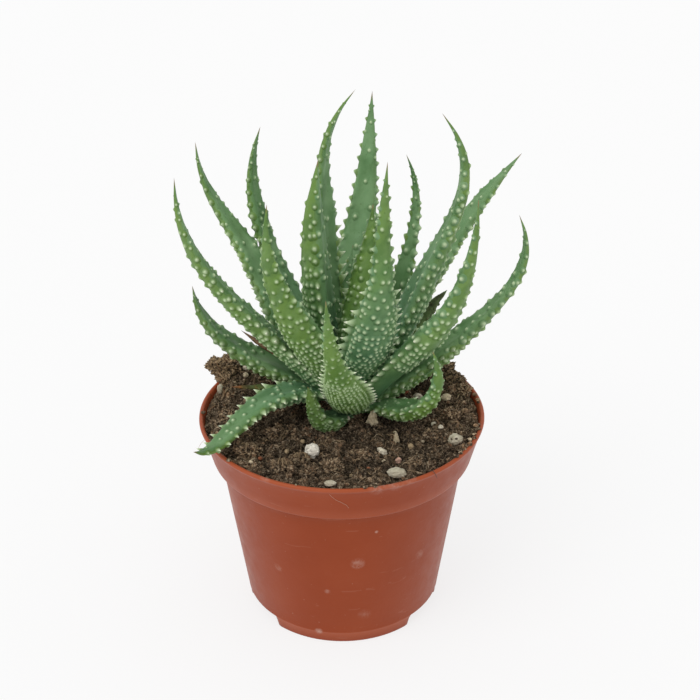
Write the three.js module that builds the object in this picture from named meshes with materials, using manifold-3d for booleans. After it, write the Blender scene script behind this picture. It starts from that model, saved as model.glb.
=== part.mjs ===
// Potted dwarf aloe: a rosette of warty, toothed succulent leaves on a short rooted stem,
// planted in peat in a thin-walled plastic nursery pot.
// Millimetres, +Z up. The origin is the centre of the pot's underside.
import * as THREE from "three";
import { mergeVertices } from "three/addons/utils/BufferGeometryUtils.js";
import Module from "manifold-3d";

// ---- pot ----
const RIM_RADIUS = 45;
const POT_HEIGHT = 68;
const COLLAR_HEIGHT = 13;
const COLLAR_FOOT_RADIUS = 41.5;
const SHOULDER_RADIUS = 39;
const FOOT_RADIUS = 31.1;
const FOOT_HEIGHT = 4;
const WALL = 1.2;
const RIM_BEAD = { out: 0.6, height: 1, slope: 0.6, chamfer: 0.3 };
const COLLAR_STEP = 0.6;
const FOOT_RING_WIDTH = 2.4;
const HUB_RADIUS = 18;
const HUB_DRAFT = 1;
const POT_SEGMENTS = 48;
const FOOT_GAPS = [210, 330, 90];
const FOOT_GAP_ANGLE = 33;
const FOOT_GAP_SEGMENTS = 4;
const NOTCH_OVERRUN = 0.6;
const NOTCH_REACH = { inside: 1, outside: 6 };
const DRAIN_RADIUS = 3;
const DRAIN_SEGMENTS = 12;
const DRAIN_OUT = 0.8;

// ---- fit between pieces that touch ----
const GAP = 0.3;

// ---- soil ----
const SOIL_EDGE_HEIGHT = 66.2;
const SOIL_SECTORS = 36;
const SOIL_RINGS = 6;
const SOIL_ROUGHNESS = 0.5;
const SOIL_SLACK = 0.1;
const SOIL_MOUNDS = [
  { x: -36, y: 23, height: 6.5, spread: 6.5 },
  { x: 33, y: 24, height: 3.5, spread: 8 },
  { x: -12, y: -30, height: 1.2, spread: 7 },
  { x: 27, y: -22, height: -1.2, spread: 9 },
  { x: -26, y: -8, height: -1.5, spread: 8 },
];

// ---- rosette ----
const CROWN = { x: 2.7, y: 7.2 };
const STEM_RADIUS = 3.2;
const STEM_BOTTOM = 50;
const STEM_TOP = 74;
const LEAF_RINGS = 12;
const LEAF_TIP_WIDTH = 0.4;
const CLASP_LENGTH = 0.3;
const CLASP_THINNESS = 0.45;
// Heights of a leaf's section, as shares of its half width: at the base and at the tip.
const LEAF_KEEL = [0.85, 0.97];
const LEAF_FLANK = [0.61, 0.7];
const LEAF_CHANNEL = [0.15, 0.55];
const LEAF_SHOULDER = [0.25, 0.58];
const ROUND_FROM = 0.4;
const SHOULDER_OUT = 0.58;
const FLANK_OUT = 0.7;

// One row per leaf. "at" is how far out from the stem's axis and how high its base sits.
// "heading" is the compass angle at the base, middle and tip, with 0 along +X.
// "pitch" is the climb angle at the base, at each third, and at the tip.
// "width" is read at the base and at each fifth after it. Leaves higher in the list keep
// their whole shape where two would meet at the crown, and the later one gives way.
const LEAVES = [
  {
    name: "leaf_front", at: [5.5, 67], heading: [269, 256, 261], pitch: [41, 47, 60, 82],
    length: 73, width: [10.5, 12.8, 11, 5.4, 3.4],
  },
  {
    name: "leaf_hooked", at: [7, 66.5], heading: [250, 226, 226], pitch: [7, 21, 75, 72],
    length: 30, width: [6, 8, 10, 6, 4],
  },
  {
    name: "leaf_over_rim", at: [3, 68], heading: [206, 225, 246], pitch: [35, 6, -16, 39],
    length: 66, width: [7.5, 9, 8.5, 6.5, 4.5],
  },
  {
    name: "leaf_curl_right", at: [3, 67], heading: [320, 323, 333], pitch: [17, 13, 66, 115],
    length: 50, width: [7, 7.5, 9, 7, 4],
  },
  {
    name: "leaf_front_right", at: [2.5, 71], heading: [293, 291, 292], pitch: [58, 65, 86, 82],
    length: 93, width: [9.5, 14.5, 13, 6.5, 3.5],
  },
  {
    name: "leaf_front_left", at: [3, 69], heading: [220, 222, 237], pitch: [61, 60, 70, 101],
    length: 82, width: [11, 13.5, 15, 9.5, 4],
  },
  {
    name: "leaf_mid_left", at: [2.5, 71], heading: [171, 172, 176], pitch: [69, 82, 90, 98],
    length: 79, width: [10, 14.5, 14.5, 12, 7],
  },
  {
    name: "leaf_right_front", at: [3, 68.5], heading: [326, 334, 338], pitch: [56, 46, 72, 91],
    length: 89, width: [12, 15, 14, 8.5, 4],
  },
  {
    name: "leaf_heart_right", at: [1.5, 73], heading: [241, 231, 247], pitch: [76, 108, 113, 101],
    length: 61, width: [6.5, 7.5, 7.5, 7.5, 4.5],
  },
  {
    name: "leaf_heart_left", at: [1, 74], heading: [102, 88, 68], pitch: [60, 65, 55, 60],
    length: 44, width: [5, 6, 6, 4.5, 2.5],
  },
  {
    name: "leaf_tall_back", at: [3, 71.5], heading: [94, 73, 77], pitch: [55, 46, 71, 77],
    length: 97, width: [9, 12, 13, 9, 5],
  },
  {
    name: "leaf_tall_right", at: [3, 70], heading: [16, 5, 1], pitch: [52, 66, 73, 128],
    length: 101, width: [10, 12, 11.5, 7, 4],
  },
  {
    name: "leaf_tall_left", at: [2, 72], heading: [110, 128, 166], pitch: [86, 69, 90, 130],
    length: 100, width: [8.5, 10, 9.5, 6, 3.2],
  },
  {
    name: "leaf_right_low", at: [3, 67.2], heading: [0, 11, 15], pitch: [27, 38, 52, 116],
    length: 87, width: [10, 12, 9.5, 5.5, 3.5],
  },
  {
    name: "leaf_left_outer", at: [3, 67.5], heading: [192, 194, 182], pitch: [51, 48, 60, 93],
    length: 97, width: [10, 11.5, 10, 7, 4],
  },
  {
    name: "leaf_left_rear", at: [3, 69], heading: [166, 137, 179], pitch: [36, 59, 48, 89],
    length: 95, width: [7.5, 9, 9.5, 7.5, 4],
  },
  {
    name: "leaf_back_right", at: [2.5, 71], heading: [58, 46, 52], pitch: [16, 62, 78, 123],
    length: 86, width: [6.5, 7, 7.5, 4.5, 2.5],
  },
  {
    name: "leaf_back_left", at: [3, 69.5], heading: [127, 147, 143], pitch: [72, 41, 74, 114],
    length: 95, width: [10, 12.5, 11.5, 7.5, 4],
  },
  {
    name: "leaf_right_rear", at: [3, 69.5], heading: [45, 42, 28], pitch: [31, 45, 44, 40],
    length: 96, width: [6, 7.5, 8.5, 7, 5],
  },
  {
    name: "leaf_left_low", at: [3, 67], heading: [178, 172, 174], pitch: [36, 22, 42, 86],
    length: 64, width: [9.5, 11, 10.5, 8, 4.5],
  },
  {
    name: "leaf_broken", at: [3, 67.5], heading: [24, 22, 24], pitch: [40, 49, 50, 40],
    length: 45, width: [5, 6, 7.5, 6, 5],
  },
  {
    name: "leaf_right_under", at: [3, 67], heading: [350, 350, 350], pitch: [10, 30, 35, 50],
    length: 29, width: [8, 9, 8.5, 7, 4.5],
  },
  {
    name: "leaf_back_low", at: [3, 67], heading: [72, 74, 78], pitch: [12, 18, 30, 60],
    length: 46, width: [9, 10, 9.5, 7, 4],
  },
  {
    name: "leaf_back_low_left", at: [3, 67], heading: [116, 112, 108], pitch: [12, 20, 35, 65],
    length: 44, width: [9, 10, 9.5, 7, 4],
  },
  {
    name: "leaf_dried", at: [3, 67.5], heading: [166, 168, 168], pitch: [30, 32, 35, 35],
    length: 39, width: [4, 4, 3.5, 3, 2],
  },
  {
    name: "leaf_withered", at: [3, 67.5], heading: [186, 184, 184], pitch: [20, 15, 5, 5],
    length: 36, width: [3, 3.2, 3.2, 2.6, 1.8],
  },
];
const LEAF_COLOURS = {
  leaf_front: "#68804a", leaf_curl_right: "#5f8a40", leaf_tall_back: "#5f8f68",
  leaf_over_rim: "#6a9570", leaf_broken: "#4d3d2a", leaf_withered: "#8a5a32", leaf_dried: "#6b4a30",
};
const LEAF_COLOUR = "#5a8550";

// Roots: compass angle, drop angle at the end, length.
const ROOTS = [
  { heading: 20, drop: -70, length: 32 },
  { heading: 95, drop: -80, length: 30 },
  { heading: 165, drop: -65, length: 38 },
  { heading: 235, drop: -50, length: 36 },
  { heading: 305, drop: -70, length: 38 },
];
const ROOT_WIDTH = 2.6;
const ROOT_TAPER = 0.7;
const ROOT_RINGS = 6;
const ROOT_WANDER = [0, 12, -10];
const ROOT_START_DROP = -20;
const STALK_SIDES = 7;
// The stem from bottom to top: height, share of its radius.
const STEM_RINGS = [
  [STEM_BOTTOM, 0.7], [STEM_BOTTOM + 4, 1], [STEM_TOP - 5, 0.8], [STEM_TOP, 0.4],
];

// ---- loose pieces lying on the soil: centre, half sizes along X, Y, Z, turn about Z ----
const GRAINS = [
  { name: "perlite_front", colour: "#dcd9d2", at: [-8.9, -24.2, 68.1], size: [2.5, 2.2, 2.1], turn: 20 },
  { name: "stone_front", colour: "#a79b8a", at: [16.3, -35.2, 67.5], size: [3.2, 1.8, 1.4], turn: 14 },
  { name: "stone_right", colour: "#a3927c", at: [34.7, -17.5, 67.9], size: [2.4, 2, 1.8], turn: -20 },
  { name: "stone_front_small", colour: "#9a8c78", at: [-3.4, -40, 67.1], size: [1.8, 1.2, 1], turn: 0 },
  { name: "stone_left", colour: "#b6a98f", at: [-39.5, 12.8, 68.3], size: [1, 1.4, 2], turn: -16 },
  { name: "bark_crown", colour: "#93805f", at: [9.3, -6.2, 68.7], size: [2.1, 1.1, 3], turn: 15 },
  { name: "bark_sliver", colour: "#a8946a", at: [16.8, -16.6, 68], size: [1, 0.8, 2], turn: 20 },
  { name: "pebble_crown", colour: "#8f7d5e", at: [1.4, -4.6, 67.5], size: [1.4, 1.1, 1.1], turn: 30 },
];

const manifold = await Module();
manifold.setup();

const radians = THREE.MathUtils.degToRad;

// ---- solids ----

function toSolid(geometry) {
  const bare = geometry.clone();
  bare.deleteAttribute("normal");
  bare.deleteAttribute("uv");
  const welded = mergeVertices(bare, 1e-4);
  return new manifold.Manifold(new manifold.Mesh({
    numProp: 3,
    vertProperties: new Float32Array(welded.attributes.position.array),
    triVerts: new Uint32Array(welded.index.array),
  }));
}

// The largest separate body of a solid, as a BufferGeometry.
function toGeometry(solid) {
  const bodies = solid.decompose();
  bodies.sort((a, b) => b.volume() - a.volume());
  const mesh = bodies[0].getMesh();
  const geometry = new THREE.BufferGeometry();
  geometry.setAttribute("position", new THREE.BufferAttribute(mesh.vertProperties, 3));
  geometry.setIndex(new THREE.BufferAttribute(mesh.triVerts, 1));
  geometry.computeVertexNormals();
  return geometry;
}

// A closed skin over a stack of rings of equal count, with a point at each end.
function skin(start, rings, end) {
  const count = rings[0].length;
  const points = [start, ...rings.flat(), end];
  const last = points.length - 1;
  const faces = [];
  for (let i = 0; i < count; i += 1) {
    const j = (i + 1) % count;
    faces.push(0, 1 + j, 1 + i);
    for (let k = 0; k < rings.length - 1; k += 1) {
      const low = 1 + k * count;
      const high = low + count;
      faces.push(low + i, low + j, high + i, low + j, high + j, high + i);
    }
    const top = 1 + (rings.length - 1) * count;
    faces.push(top + i, top + j, last);
  }
  const geometry = new THREE.BufferGeometry().setFromPoints(points);
  geometry.setIndex(faces);
  return geometry;
}

// A smooth value through equally spaced stations, for 0 <= t <= 1.
function through(stations, t) {
  const curve = new THREE.SplineCurve(stations.map((value, i) => new THREE.Vector2(i, value)));
  return curve.getPoint(t).y;
}

// Points and directions along a stalk that starts at base and turns as its heading and
// pitch lists say. across is level, and inner is the way its upper face looks.
function trace(base, heading, pitch, length, rings) {
  const stations = [];
  const steps = 6;
  const point = base.clone();
  for (let k = 0; k <= rings * steps; k += 1) {
    const t = k / (rings * steps);
    const turn = radians(through(heading, t));
    const climb = radians(through(pitch, t));
    const along = new THREE.Vector3(
      Math.cos(climb) * Math.cos(turn), Math.cos(climb) * Math.sin(turn), Math.sin(climb));
    const across = new THREE.Vector3(-Math.sin(turn), Math.cos(turn), 0);
    const inner = along.clone().cross(across);
    if (k % steps === 0) stations.push({ t, point: point.clone(), along, across, inner });
    point.addScaledVector(along, length / (rings * steps));
  }
  return stations;
}

// Leaf section at t along the leaf: a pointed oval, deep below and flatter above. It is
// thinner where it clasps the stem, and rounder towards the tip.
function leafSection(halfWidth, t) {
  const bulk = halfWidth * (1 - CLASP_THINNESS * (1 - Math.min(1, t / CLASP_LENGTH)));
  const roundness = Math.max(0, (t - ROUND_FROM) / (1 - ROUND_FROM));
  const rise = ([atBase, atTip]) => bulk * (atBase + (atTip - atBase) * roundness);
  const margin = (rise(LEAF_KEEL) - rise(LEAF_SHOULDER)) / 2;
  const shoulder = margin + rise(LEAF_SHOULDER);
  const flank = margin - rise(LEAF_FLANK);
  return [
    [halfWidth, margin], [halfWidth * SHOULDER_OUT, shoulder], [0, margin + rise(LEAF_CHANNEL)],
    [-halfWidth * SHOULDER_OUT, shoulder], [-halfWidth, margin], [-halfWidth * FLANK_OUT, flank],
    [0, margin - rise(LEAF_KEEL)], [halfWidth * FLANK_OUT, flank],
  ];
}

function roundSection(radius) {
  return Array.from({ length: STALK_SIDES }, (_, i) => {
    const angle = (2 * Math.PI * i) / STALK_SIDES;
    return [radius * Math.cos(angle), radius * Math.sin(angle)];
  });
}

function ringAt(station, section) {
  return section.map(([u, v]) => station.point.clone()
    .addScaledVector(station.across, u).addScaledVector(station.inner, v));
}

// extra swells the leaf all round, which leaves the fit gap when it is used as a cutter.
function leafSolid(leaf, extra = 0) {
  const [out, height] = leaf.at;
  const start = radians(leaf.heading[0]);
  const base = new THREE.Vector3(
    CROWN.x + out * Math.cos(start), CROWN.y + out * Math.sin(start), height);
  const stations = trace(base, leaf.heading, leaf.pitch, leaf.length, LEAF_RINGS);
  const tip = stations.pop();
  const rings = stations.map((station) => {
    const width = through([...leaf.width, LEAF_TIP_WIDTH], station.t);
    return ringAt(station, leafSection(width / 2 + extra, station.t));
  });
  const butt = stations[0].point.clone().addScaledVector(stations[0].along, -extra);
  const point = tip.point.clone().addScaledVector(tip.along, extra);
  return toSolid(skin(butt, rings, point));
}

function stemSolid(extra = 0) {
  const axisPoint = (z) => new THREE.Vector3(CROWN.x, CROWN.y, z);
  const upright = (z, radius) => ringAt({
    point: axisPoint(z),
    across: new THREE.Vector3(1, 0, 0),
    inner: new THREE.Vector3(0, 1, 0),
  }, roundSection(radius + extra));
  const rings = STEM_RINGS.map(([z, share]) => upright(z, STEM_RADIUS * share));
  let solid = toSolid(skin(axisPoint(STEM_BOTTOM - extra), rings, axisPoint(STEM_TOP + extra)));
  ROOTS.forEach((root, i) => {
    const base = axisPoint(STEM_BOTTOM + 3 + i);
    const headings = ROOT_WANDER.map((turn) => root.heading + turn);
    const pitch = [ROOT_START_DROP, root.drop * 0.75, root.drop];
    const stations = trace(base, headings, pitch, root.length, ROOT_RINGS);
    const end = stations.pop();
    const rootRings = stations.map((station) => ringAt(station,
      roundSection((ROOT_WIDTH / 2) * (1 - ROOT_TAPER * station.t) + extra)));
    solid = solid.add(toSolid(skin(base, rootRings, end.point.addScaledVector(end.along, extra))));
  });
  return solid;
}

// ---- pot: one lathe-turned shell, with its foot ring gapped and drained ----

function revolve(profile, segments) {
  const geometry = new THREE.LatheGeometry(profile.map(([r, z]) => new THREE.Vector2(r, z)), segments);
  return geometry.rotateX(Math.PI / 2);
}

const shoulderHeight = POT_HEIGHT - COLLAR_HEIGHT;
const floorTop = FOOT_HEIGHT + WALL;
const wallRadius = (z) => FOOT_RADIUS + ((SHOULDER_RADIUS - FOOT_RADIUS) * z) / shoulderHeight;
const collarRadius = (z) => COLLAR_FOOT_RADIUS
  + ((RIM_RADIUS - COLLAR_FOOT_RADIUS) * (z - shoulderHeight)) / COLLAR_HEIGHT;

function potSolid() {
  const footInside = FOOT_RADIUS - FOOT_RING_WIDTH;
  const beadFoot = POT_HEIGHT - RIM_BEAD.height;
  const rimInside = RIM_RADIUS - WALL;
  const profile = [
    [0, 0], [HUB_RADIUS, 0], [HUB_RADIUS + HUB_DRAFT, FOOT_HEIGHT],
    [footInside, FOOT_HEIGHT], [footInside, 0], [FOOT_RADIUS, 0],
    [wallRadius(FOOT_HEIGHT), FOOT_HEIGHT],
    [wallRadius(shoulderHeight - COLLAR_STEP), shoulderHeight - COLLAR_STEP],
    [COLLAR_FOOT_RADIUS, shoulderHeight],
    [RIM_RADIUS - RIM_BEAD.out, beadFoot - RIM_BEAD.slope], [RIM_RADIUS, beadFoot],
    [RIM_RADIUS, POT_HEIGHT - RIM_BEAD.chamfer], [RIM_RADIUS - RIM_BEAD.chamfer, POT_HEIGHT],
    [rimInside, POT_HEIGHT], [rimInside - RIM_BEAD.chamfer, POT_HEIGHT - RIM_BEAD.chamfer],
    [COLLAR_FOOT_RADIUS - WALL, shoulderHeight + WALL], [SHOULDER_RADIUS - WALL, shoulderHeight],
    [wallRadius(floorTop) - WALL, floorTop], [HUB_RADIUS, floorTop],
    [HUB_RADIUS - WALL, WALL], [0, WALL],
  ];
  let solid = toSolid(revolve(profile, POT_SEGMENTS));
  FOOT_GAPS.forEach((middle) => {
    const wedge = new THREE.Shape();
    const half = radians(FOOT_GAP_ANGLE / 2);
    const inner = footInside - NOTCH_REACH.inside;
    wedge.absarc(0, 0, FOOT_RADIUS + NOTCH_REACH.outside, -half, half, false);
    wedge.absarc(0, 0, inner, half, -half, true);
    const notch = new THREE.ExtrudeGeometry(wedge, {
      depth: FOOT_HEIGHT + NOTCH_OVERRUN, bevelEnabled: false, curveSegments: FOOT_GAP_SEGMENTS,
    });
    notch.translate(0, 0, -NOTCH_OVERRUN).rotateZ(radians(middle));
    const drain = new THREE.CylinderGeometry(DRAIN_RADIUS, DRAIN_RADIUS, 4 * WALL, DRAIN_SEGMENTS);
    drain.rotateX(Math.PI / 2).translate((HUB_RADIUS + inner) / 2 + DRAIN_OUT, 0, floorTop);
    drain.rotateZ(radians(middle));
    solid = solid.subtract(toSolid(notch)).subtract(toSolid(drain));
  });
  return solid;
}

// ---- soil: fills the pot, with an uneven crumbly top ----

function soilHeight(x, y) {
  const ripple = Math.sin(0.45 * x + 1.3) * Math.cos(0.38 * y - 0.6)
    + 0.6 * Math.sin(0.9 * x - 0.7 * y);
  return SOIL_MOUNDS.reduce((height, mound) => {
    const away = Math.hypot(x - mound.x, y - mound.y) / mound.spread;
    return height + mound.height * Math.exp(-away * away);
  }, SOIL_EDGE_HEIGHT + SOIL_ROUGHNESS * ripple);
}

function soilSolid() {
  const edgeRadius = collarRadius(SOIL_EDGE_HEIGHT) - WALL - RIM_BEAD.chamfer - GAP;
  const circle = (radius, heightAt) => Array.from({ length: SOIL_SECTORS }, (_, i) => {
    const angle = (2 * Math.PI * i) / SOIL_SECTORS;
    const x = radius * Math.cos(angle);
    const y = radius * Math.sin(angle);
    return new THREE.Vector3(x, y, heightAt(x, y));
  });
  // The soil has fewer sides than the pot, so its corners keep a little slack inside the wall.
  const inside = WALL + GAP + SOIL_SLACK;
  const side = [
    [HUB_RADIUS - inside, WALL + GAP], [HUB_RADIUS - GAP, floorTop + GAP],
    [wallRadius(floorTop) - inside, floorTop + GAP], [SHOULDER_RADIUS - inside, shoulderHeight],
    [COLLAR_FOOT_RADIUS - inside - SOIL_SLACK, shoulderHeight + WALL + GAP + SOIL_SLACK],
  ];
  const rings = side.map(([radius, z]) => circle(radius, () => z));
  for (let k = 0; k < SOIL_RINGS; k += 1) {
    rings.push(circle(edgeRadius * (1 - k / SOIL_RINGS), soilHeight));
  }
  const bottom = new THREE.Vector3(0, 0, WALL + GAP);
  const top = new THREE.Vector3(0, 0, soilHeight(0, 0));
  return toSolid(skin(bottom, rings, top));
}

// ---- grains: lumps with blunt corners ----

function grainSolid(grain, extra = 0) {
  const geometry = new THREE.IcosahedronGeometry(1, 1);
  geometry.deleteAttribute("normal");
  geometry.deleteAttribute("uv");
  const lump = mergeVertices(geometry, 1e-3);
  const place = lump.attributes.position;
  const [lx, ly, lz] = grain.size;
  for (let i = 0; i < place.count; i += 1) {
    const [x, y, z] = [place.getX(i), place.getY(i), place.getZ(i)];
    const dent = 1 + 0.12 * Math.sin(5 * x + 3 * grain.at[0]) * Math.cos(4 * y + 2 * z);
    place.setXYZ(i, x * (lx * dent + extra), y * (ly * dent + extra), z * (lz * dent + extra));
  }
  lump.rotateZ(radians(grain.turn)).translate(...grain.at);
  return toSolid(lump);
}

// ---- assembly ----

const aloe = new THREE.Group();

function addPiece(name, solid, color, roughness) {
  const material = new THREE.MeshStandardMaterial({ color, roughness, metalness: 0 });
  const mesh = new THREE.Mesh(toGeometry(solid), material);
  mesh.name = name;
  aloe.add(mesh);
}

addPiece("pot", potSolid(), "#93492f", 0.45);
addPiece("stem_and_roots", stemSolid(), "#8c7a55", 0.8);

const cutters = [stemSolid(GAP)];
LEAVES.forEach((leaf) => {
  const solid = cutters.reduce((rest, cutter) => rest.subtract(cutter), leafSolid(leaf));
  cutters.push(leafSolid(leaf, GAP));
  addPiece(leaf.name, solid, LEAF_COLOURS[leaf.name] ?? LEAF_COLOUR, 0.5);
});

GRAINS.forEach((grain) => {
  const solid = cutters.reduce((rest, cutter) => rest.subtract(cutter), grainSolid(grain));
  cutters.push(grainSolid(grain, GAP));
  addPiece(grain.name, solid, grain.colour, 0.9);
});

addPiece("soil", cutters.reduce((rest, cutter) => rest.subtract(cutter), soilSolid()), "#443b2e", 0.95);

export default aloe;
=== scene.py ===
import math

import bpy
import numpy as np
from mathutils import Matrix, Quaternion, Vector, noise
from mathutils.bvhtree import BVHTree


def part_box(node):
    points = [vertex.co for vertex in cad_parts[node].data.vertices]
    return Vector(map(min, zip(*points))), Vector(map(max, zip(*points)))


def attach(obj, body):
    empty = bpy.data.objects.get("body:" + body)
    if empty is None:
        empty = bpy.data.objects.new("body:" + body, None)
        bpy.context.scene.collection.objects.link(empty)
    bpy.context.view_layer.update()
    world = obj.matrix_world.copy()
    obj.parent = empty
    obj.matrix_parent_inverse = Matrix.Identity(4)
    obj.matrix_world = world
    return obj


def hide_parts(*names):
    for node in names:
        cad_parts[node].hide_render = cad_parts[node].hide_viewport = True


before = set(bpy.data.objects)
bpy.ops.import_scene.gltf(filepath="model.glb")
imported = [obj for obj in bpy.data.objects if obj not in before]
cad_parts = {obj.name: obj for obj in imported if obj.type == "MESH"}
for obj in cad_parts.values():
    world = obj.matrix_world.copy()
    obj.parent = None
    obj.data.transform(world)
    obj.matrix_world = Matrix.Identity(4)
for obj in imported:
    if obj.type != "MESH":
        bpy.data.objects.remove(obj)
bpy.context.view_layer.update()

# A potted dwarf aloe. The CAD leaves give each leaf's line and width; this script gives them
# their teeth, warts and skin, and remakes the pot, the soil and the loose grains finely.
# Lengths are in metres unless a name or a comment says mm.

MM = 0.001
SEED = 11

STONES = ("stone_front", "stone_right", "stone_front_small", "stone_left", "pebble_crown")
BARK = ("bark_crown", "bark_sliver")


def box_of(node):
    """A CAD node's lowest and highest corners."""
    return [np.array(corner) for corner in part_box(node)]


POT_LOW, POT_HIGH = box_of("pot")
RIM_RADIUS = (POT_HIGH[0] - POT_LOW[0]) / 2
POT_HEIGHT = POT_HIGH[2] - POT_LOW[2]


def unit(v):
    return v / np.maximum(np.linalg.norm(v, axis=-1, keepdims=True), 1e-12)


def ease(x, low, high):
    """0 below low, 1 above high, smooth between."""
    f = np.clip((np.asarray(x, float) - low) / (high - low), 0, 1)
    return f * f * (3 - 2 * f)


def spline(values, x):
    """A smooth curve through equally spaced values, read at positions x from 0 to len - 1."""
    values = np.asarray(values, float)
    last = len(values) - 1
    x = np.clip(np.asarray(x, float), 0, last)
    i = np.minimum(x.astype(int), last - 1)
    f = (x - i).reshape(x.shape + (1,) * (values.ndim - 1))
    padded = np.concatenate([[2 * values[0] - values[1]], values, [2 * values[-1] - values[-2]]])
    p0, p1, p2, p3 = (padded[i + k] for k in range(4))
    return 0.5 * (2 * p1 + (p2 - p0) * f + (2 * p0 - 5 * p1 + 4 * p2 - p3) * f ** 2
                  + (3 * p1 - p0 - 3 * p2 + p3) * f ** 3)


def circle(count):
    """count angles evenly round a full turn."""
    return np.linspace(0, 2 * math.pi, count, endpoint=False)


def polar(radius, degrees, height):
    """The point at this radius, direction and height about the pot's axis."""
    angle = math.radians(degrees)
    return radius * math.cos(angle), radius * math.sin(angle), height


# ---------------------------------------------------------------- meshes

def tints(*channels):
    """Tint channels side by side, with 0 for those not given."""
    return np.stack(np.broadcast_arrays(*channels, *[0.0] * (4 - len(channels))), -1)


class Skin:
    """Points, faces, tints and leaf coordinates, gathered from many patches into one mesh."""

    def __init__(self):
        self.points, self.tints, self.flows = [], [], []
        self.quads, self.tris, self.count = [], [], 0

    def add(self, points, tint, quads=(), tris=(), flow=(0, 0, 0)):
        points = np.asarray(points, float).reshape(-1, 3)
        self.points.append(points)
        self.tints.append(np.broadcast_to(np.reshape(tint, (-1, 4)), (len(points), 4)))
        self.flows.append(np.broadcast_to(flow, (len(points), 3)))
        self.quads.append(np.asarray(quads, int).reshape(-1, 4) + self.count)
        self.tris.append(np.asarray(tris, int).reshape(-1, 3) + self.count)
        self.count += len(points)

    def add_copies(self, blocks, tint, quads, tris, flow=(0, 0, 0)):
        """Adds many copies of one small mesh, blocks being the points of each."""
        shift = (np.arange(len(blocks)) * blocks.shape[1])[:, None, None]
        self.add(blocks, tint, quads + shift, tris + shift, flow)

    def cap(self, point, tint, ring, columns, forward):
        """Closes the ring of points that starts at index ring with a fan to one point."""
        self.add(point, tint)
        self.tris.append(fan(self.count - 1, ring, columns, forward))

    def build(self, name, material, replaces=(), smooth=True):
        mesh = bpy.data.meshes.new(name)
        quads, tris = np.concatenate(self.quads), np.concatenate(self.tris)
        corners = np.concatenate([quads.ravel(), tris.ravel()])
        sizes = np.concatenate([np.full(len(quads), 4), np.full(len(tris), 3)])
        mesh.vertices.add(self.count)
        mesh.vertices.foreach_set("co", np.concatenate(self.points).ravel().astype(np.float32))
        mesh.loops.add(len(corners))
        mesh.loops.foreach_set("vertex_index", corners.astype(np.int32))
        mesh.polygons.add(len(sizes))
        mesh.polygons.foreach_set("loop_start", (np.cumsum(sizes) - sizes).astype(np.int32))
        mesh.polygons.foreach_set("use_smooth", np.full(len(sizes), smooth))
        mesh.update(calc_edges=True)
        mesh.validate()
        tint = mesh.attributes.new("tint", "FLOAT_COLOR", "POINT")
        tint.data.foreach_set("color", np.concatenate(self.tints).ravel().astype(np.float32))
        flow = mesh.attributes.new("flow", "FLOAT_VECTOR", "POINT")
        flow.data.foreach_set("vector", np.concatenate(self.flows).ravel().astype(np.float32))
        piece = bpy.data.objects.new(name, mesh)
        bpy.context.scene.collection.objects.link(piece)
        mesh.materials.append(material)
        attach(piece, "root")
        if replaces:
            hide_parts(*replaces)
        return piece


def grid_quads(rows, columns):
    """Quads of a sheet of rows by columns points whose columns close into a ring."""
    r, c = np.meshgrid(np.arange(rows - 1), np.arange(columns), indexing="ij")
    d = (c + 1) % columns
    return np.stack([r * columns + c, r * columns + d, (r + 1) * columns + d,
                     (r + 1) * columns + c], -1).reshape(-1, 4)


def fan(centre, ring, columns, forward):
    """Triangles from one centre point to the ring of points that starts at index ring."""
    here = ring + np.arange(columns)
    after = ring + (np.arange(columns) + 1) % columns
    middle = np.full(columns, centre)
    return np.stack((middle, after, here) if forward else (middle, here, after), -1)


def ico(subdivisions):
    """Vertices and triangles of a unit icosphere."""
    g = (1 + 5 ** 0.5) / 2
    points = [unit(np.array(p, float)) for p in (
        (-1, g, 0), (1, g, 0), (-1, -g, 0), (1, -g, 0), (0, -1, g), (0, 1, g),
        (0, -1, -g), (0, 1, -g), (g, 0, -1), (g, 0, 1), (-g, 0, -1), (-g, 0, 1))]
    faces = [(0, 11, 5), (0, 5, 1), (0, 1, 7), (0, 7, 10), (0, 10, 11), (1, 5, 9), (5, 11, 4),
             (11, 10, 2), (10, 7, 6), (7, 1, 8), (3, 9, 4), (3, 4, 2), (3, 2, 6), (3, 6, 8),
             (3, 8, 9), (4, 9, 5), (2, 4, 11), (6, 2, 10), (8, 6, 7), (9, 8, 1)]
    for _ in range(subdivisions):
        middles, finer = {}, []

        def middle(a, b):
            key = (min(a, b), max(a, b))
            if key not in middles:
                middles[key] = len(points)
                points.append(unit(points[a] + points[b]))
            return middles[key]

        for a, b, c in faces:
            ab, bc, ca = middle(a, b), middle(b, c), middle(c, a)
            finer += [(a, ab, ca), (b, bc, ab), (c, ca, bc), (ab, bc, ca)]
        faces = finer
    return np.array(points), np.array(faces)


def fractal(points, scale, octaves=4, roughness=1.0):
    """Fractal noise at points, in features of about 1 / scale metres."""
    return np.array([noise.fractal(Vector(p * scale), roughness, 2.0, octaves) for p in points])


def turned(rng, points):
    """points turned by a random rotation."""
    w, x, y, z = unit(rng.normal(size=4))
    m = np.array([[1 - 2 * (y * y + z * z), 2 * (x * y - z * w), 2 * (x * z + y * w)],
                  [2 * (x * y + z * w), 1 - 2 * (x * x + z * z), 2 * (y * z - x * w)],
                  [2 * (x * z - y * w), 2 * (y * z + x * w), 1 - 2 * (x * x + y * y)]])
    return points @ m.T


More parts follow.
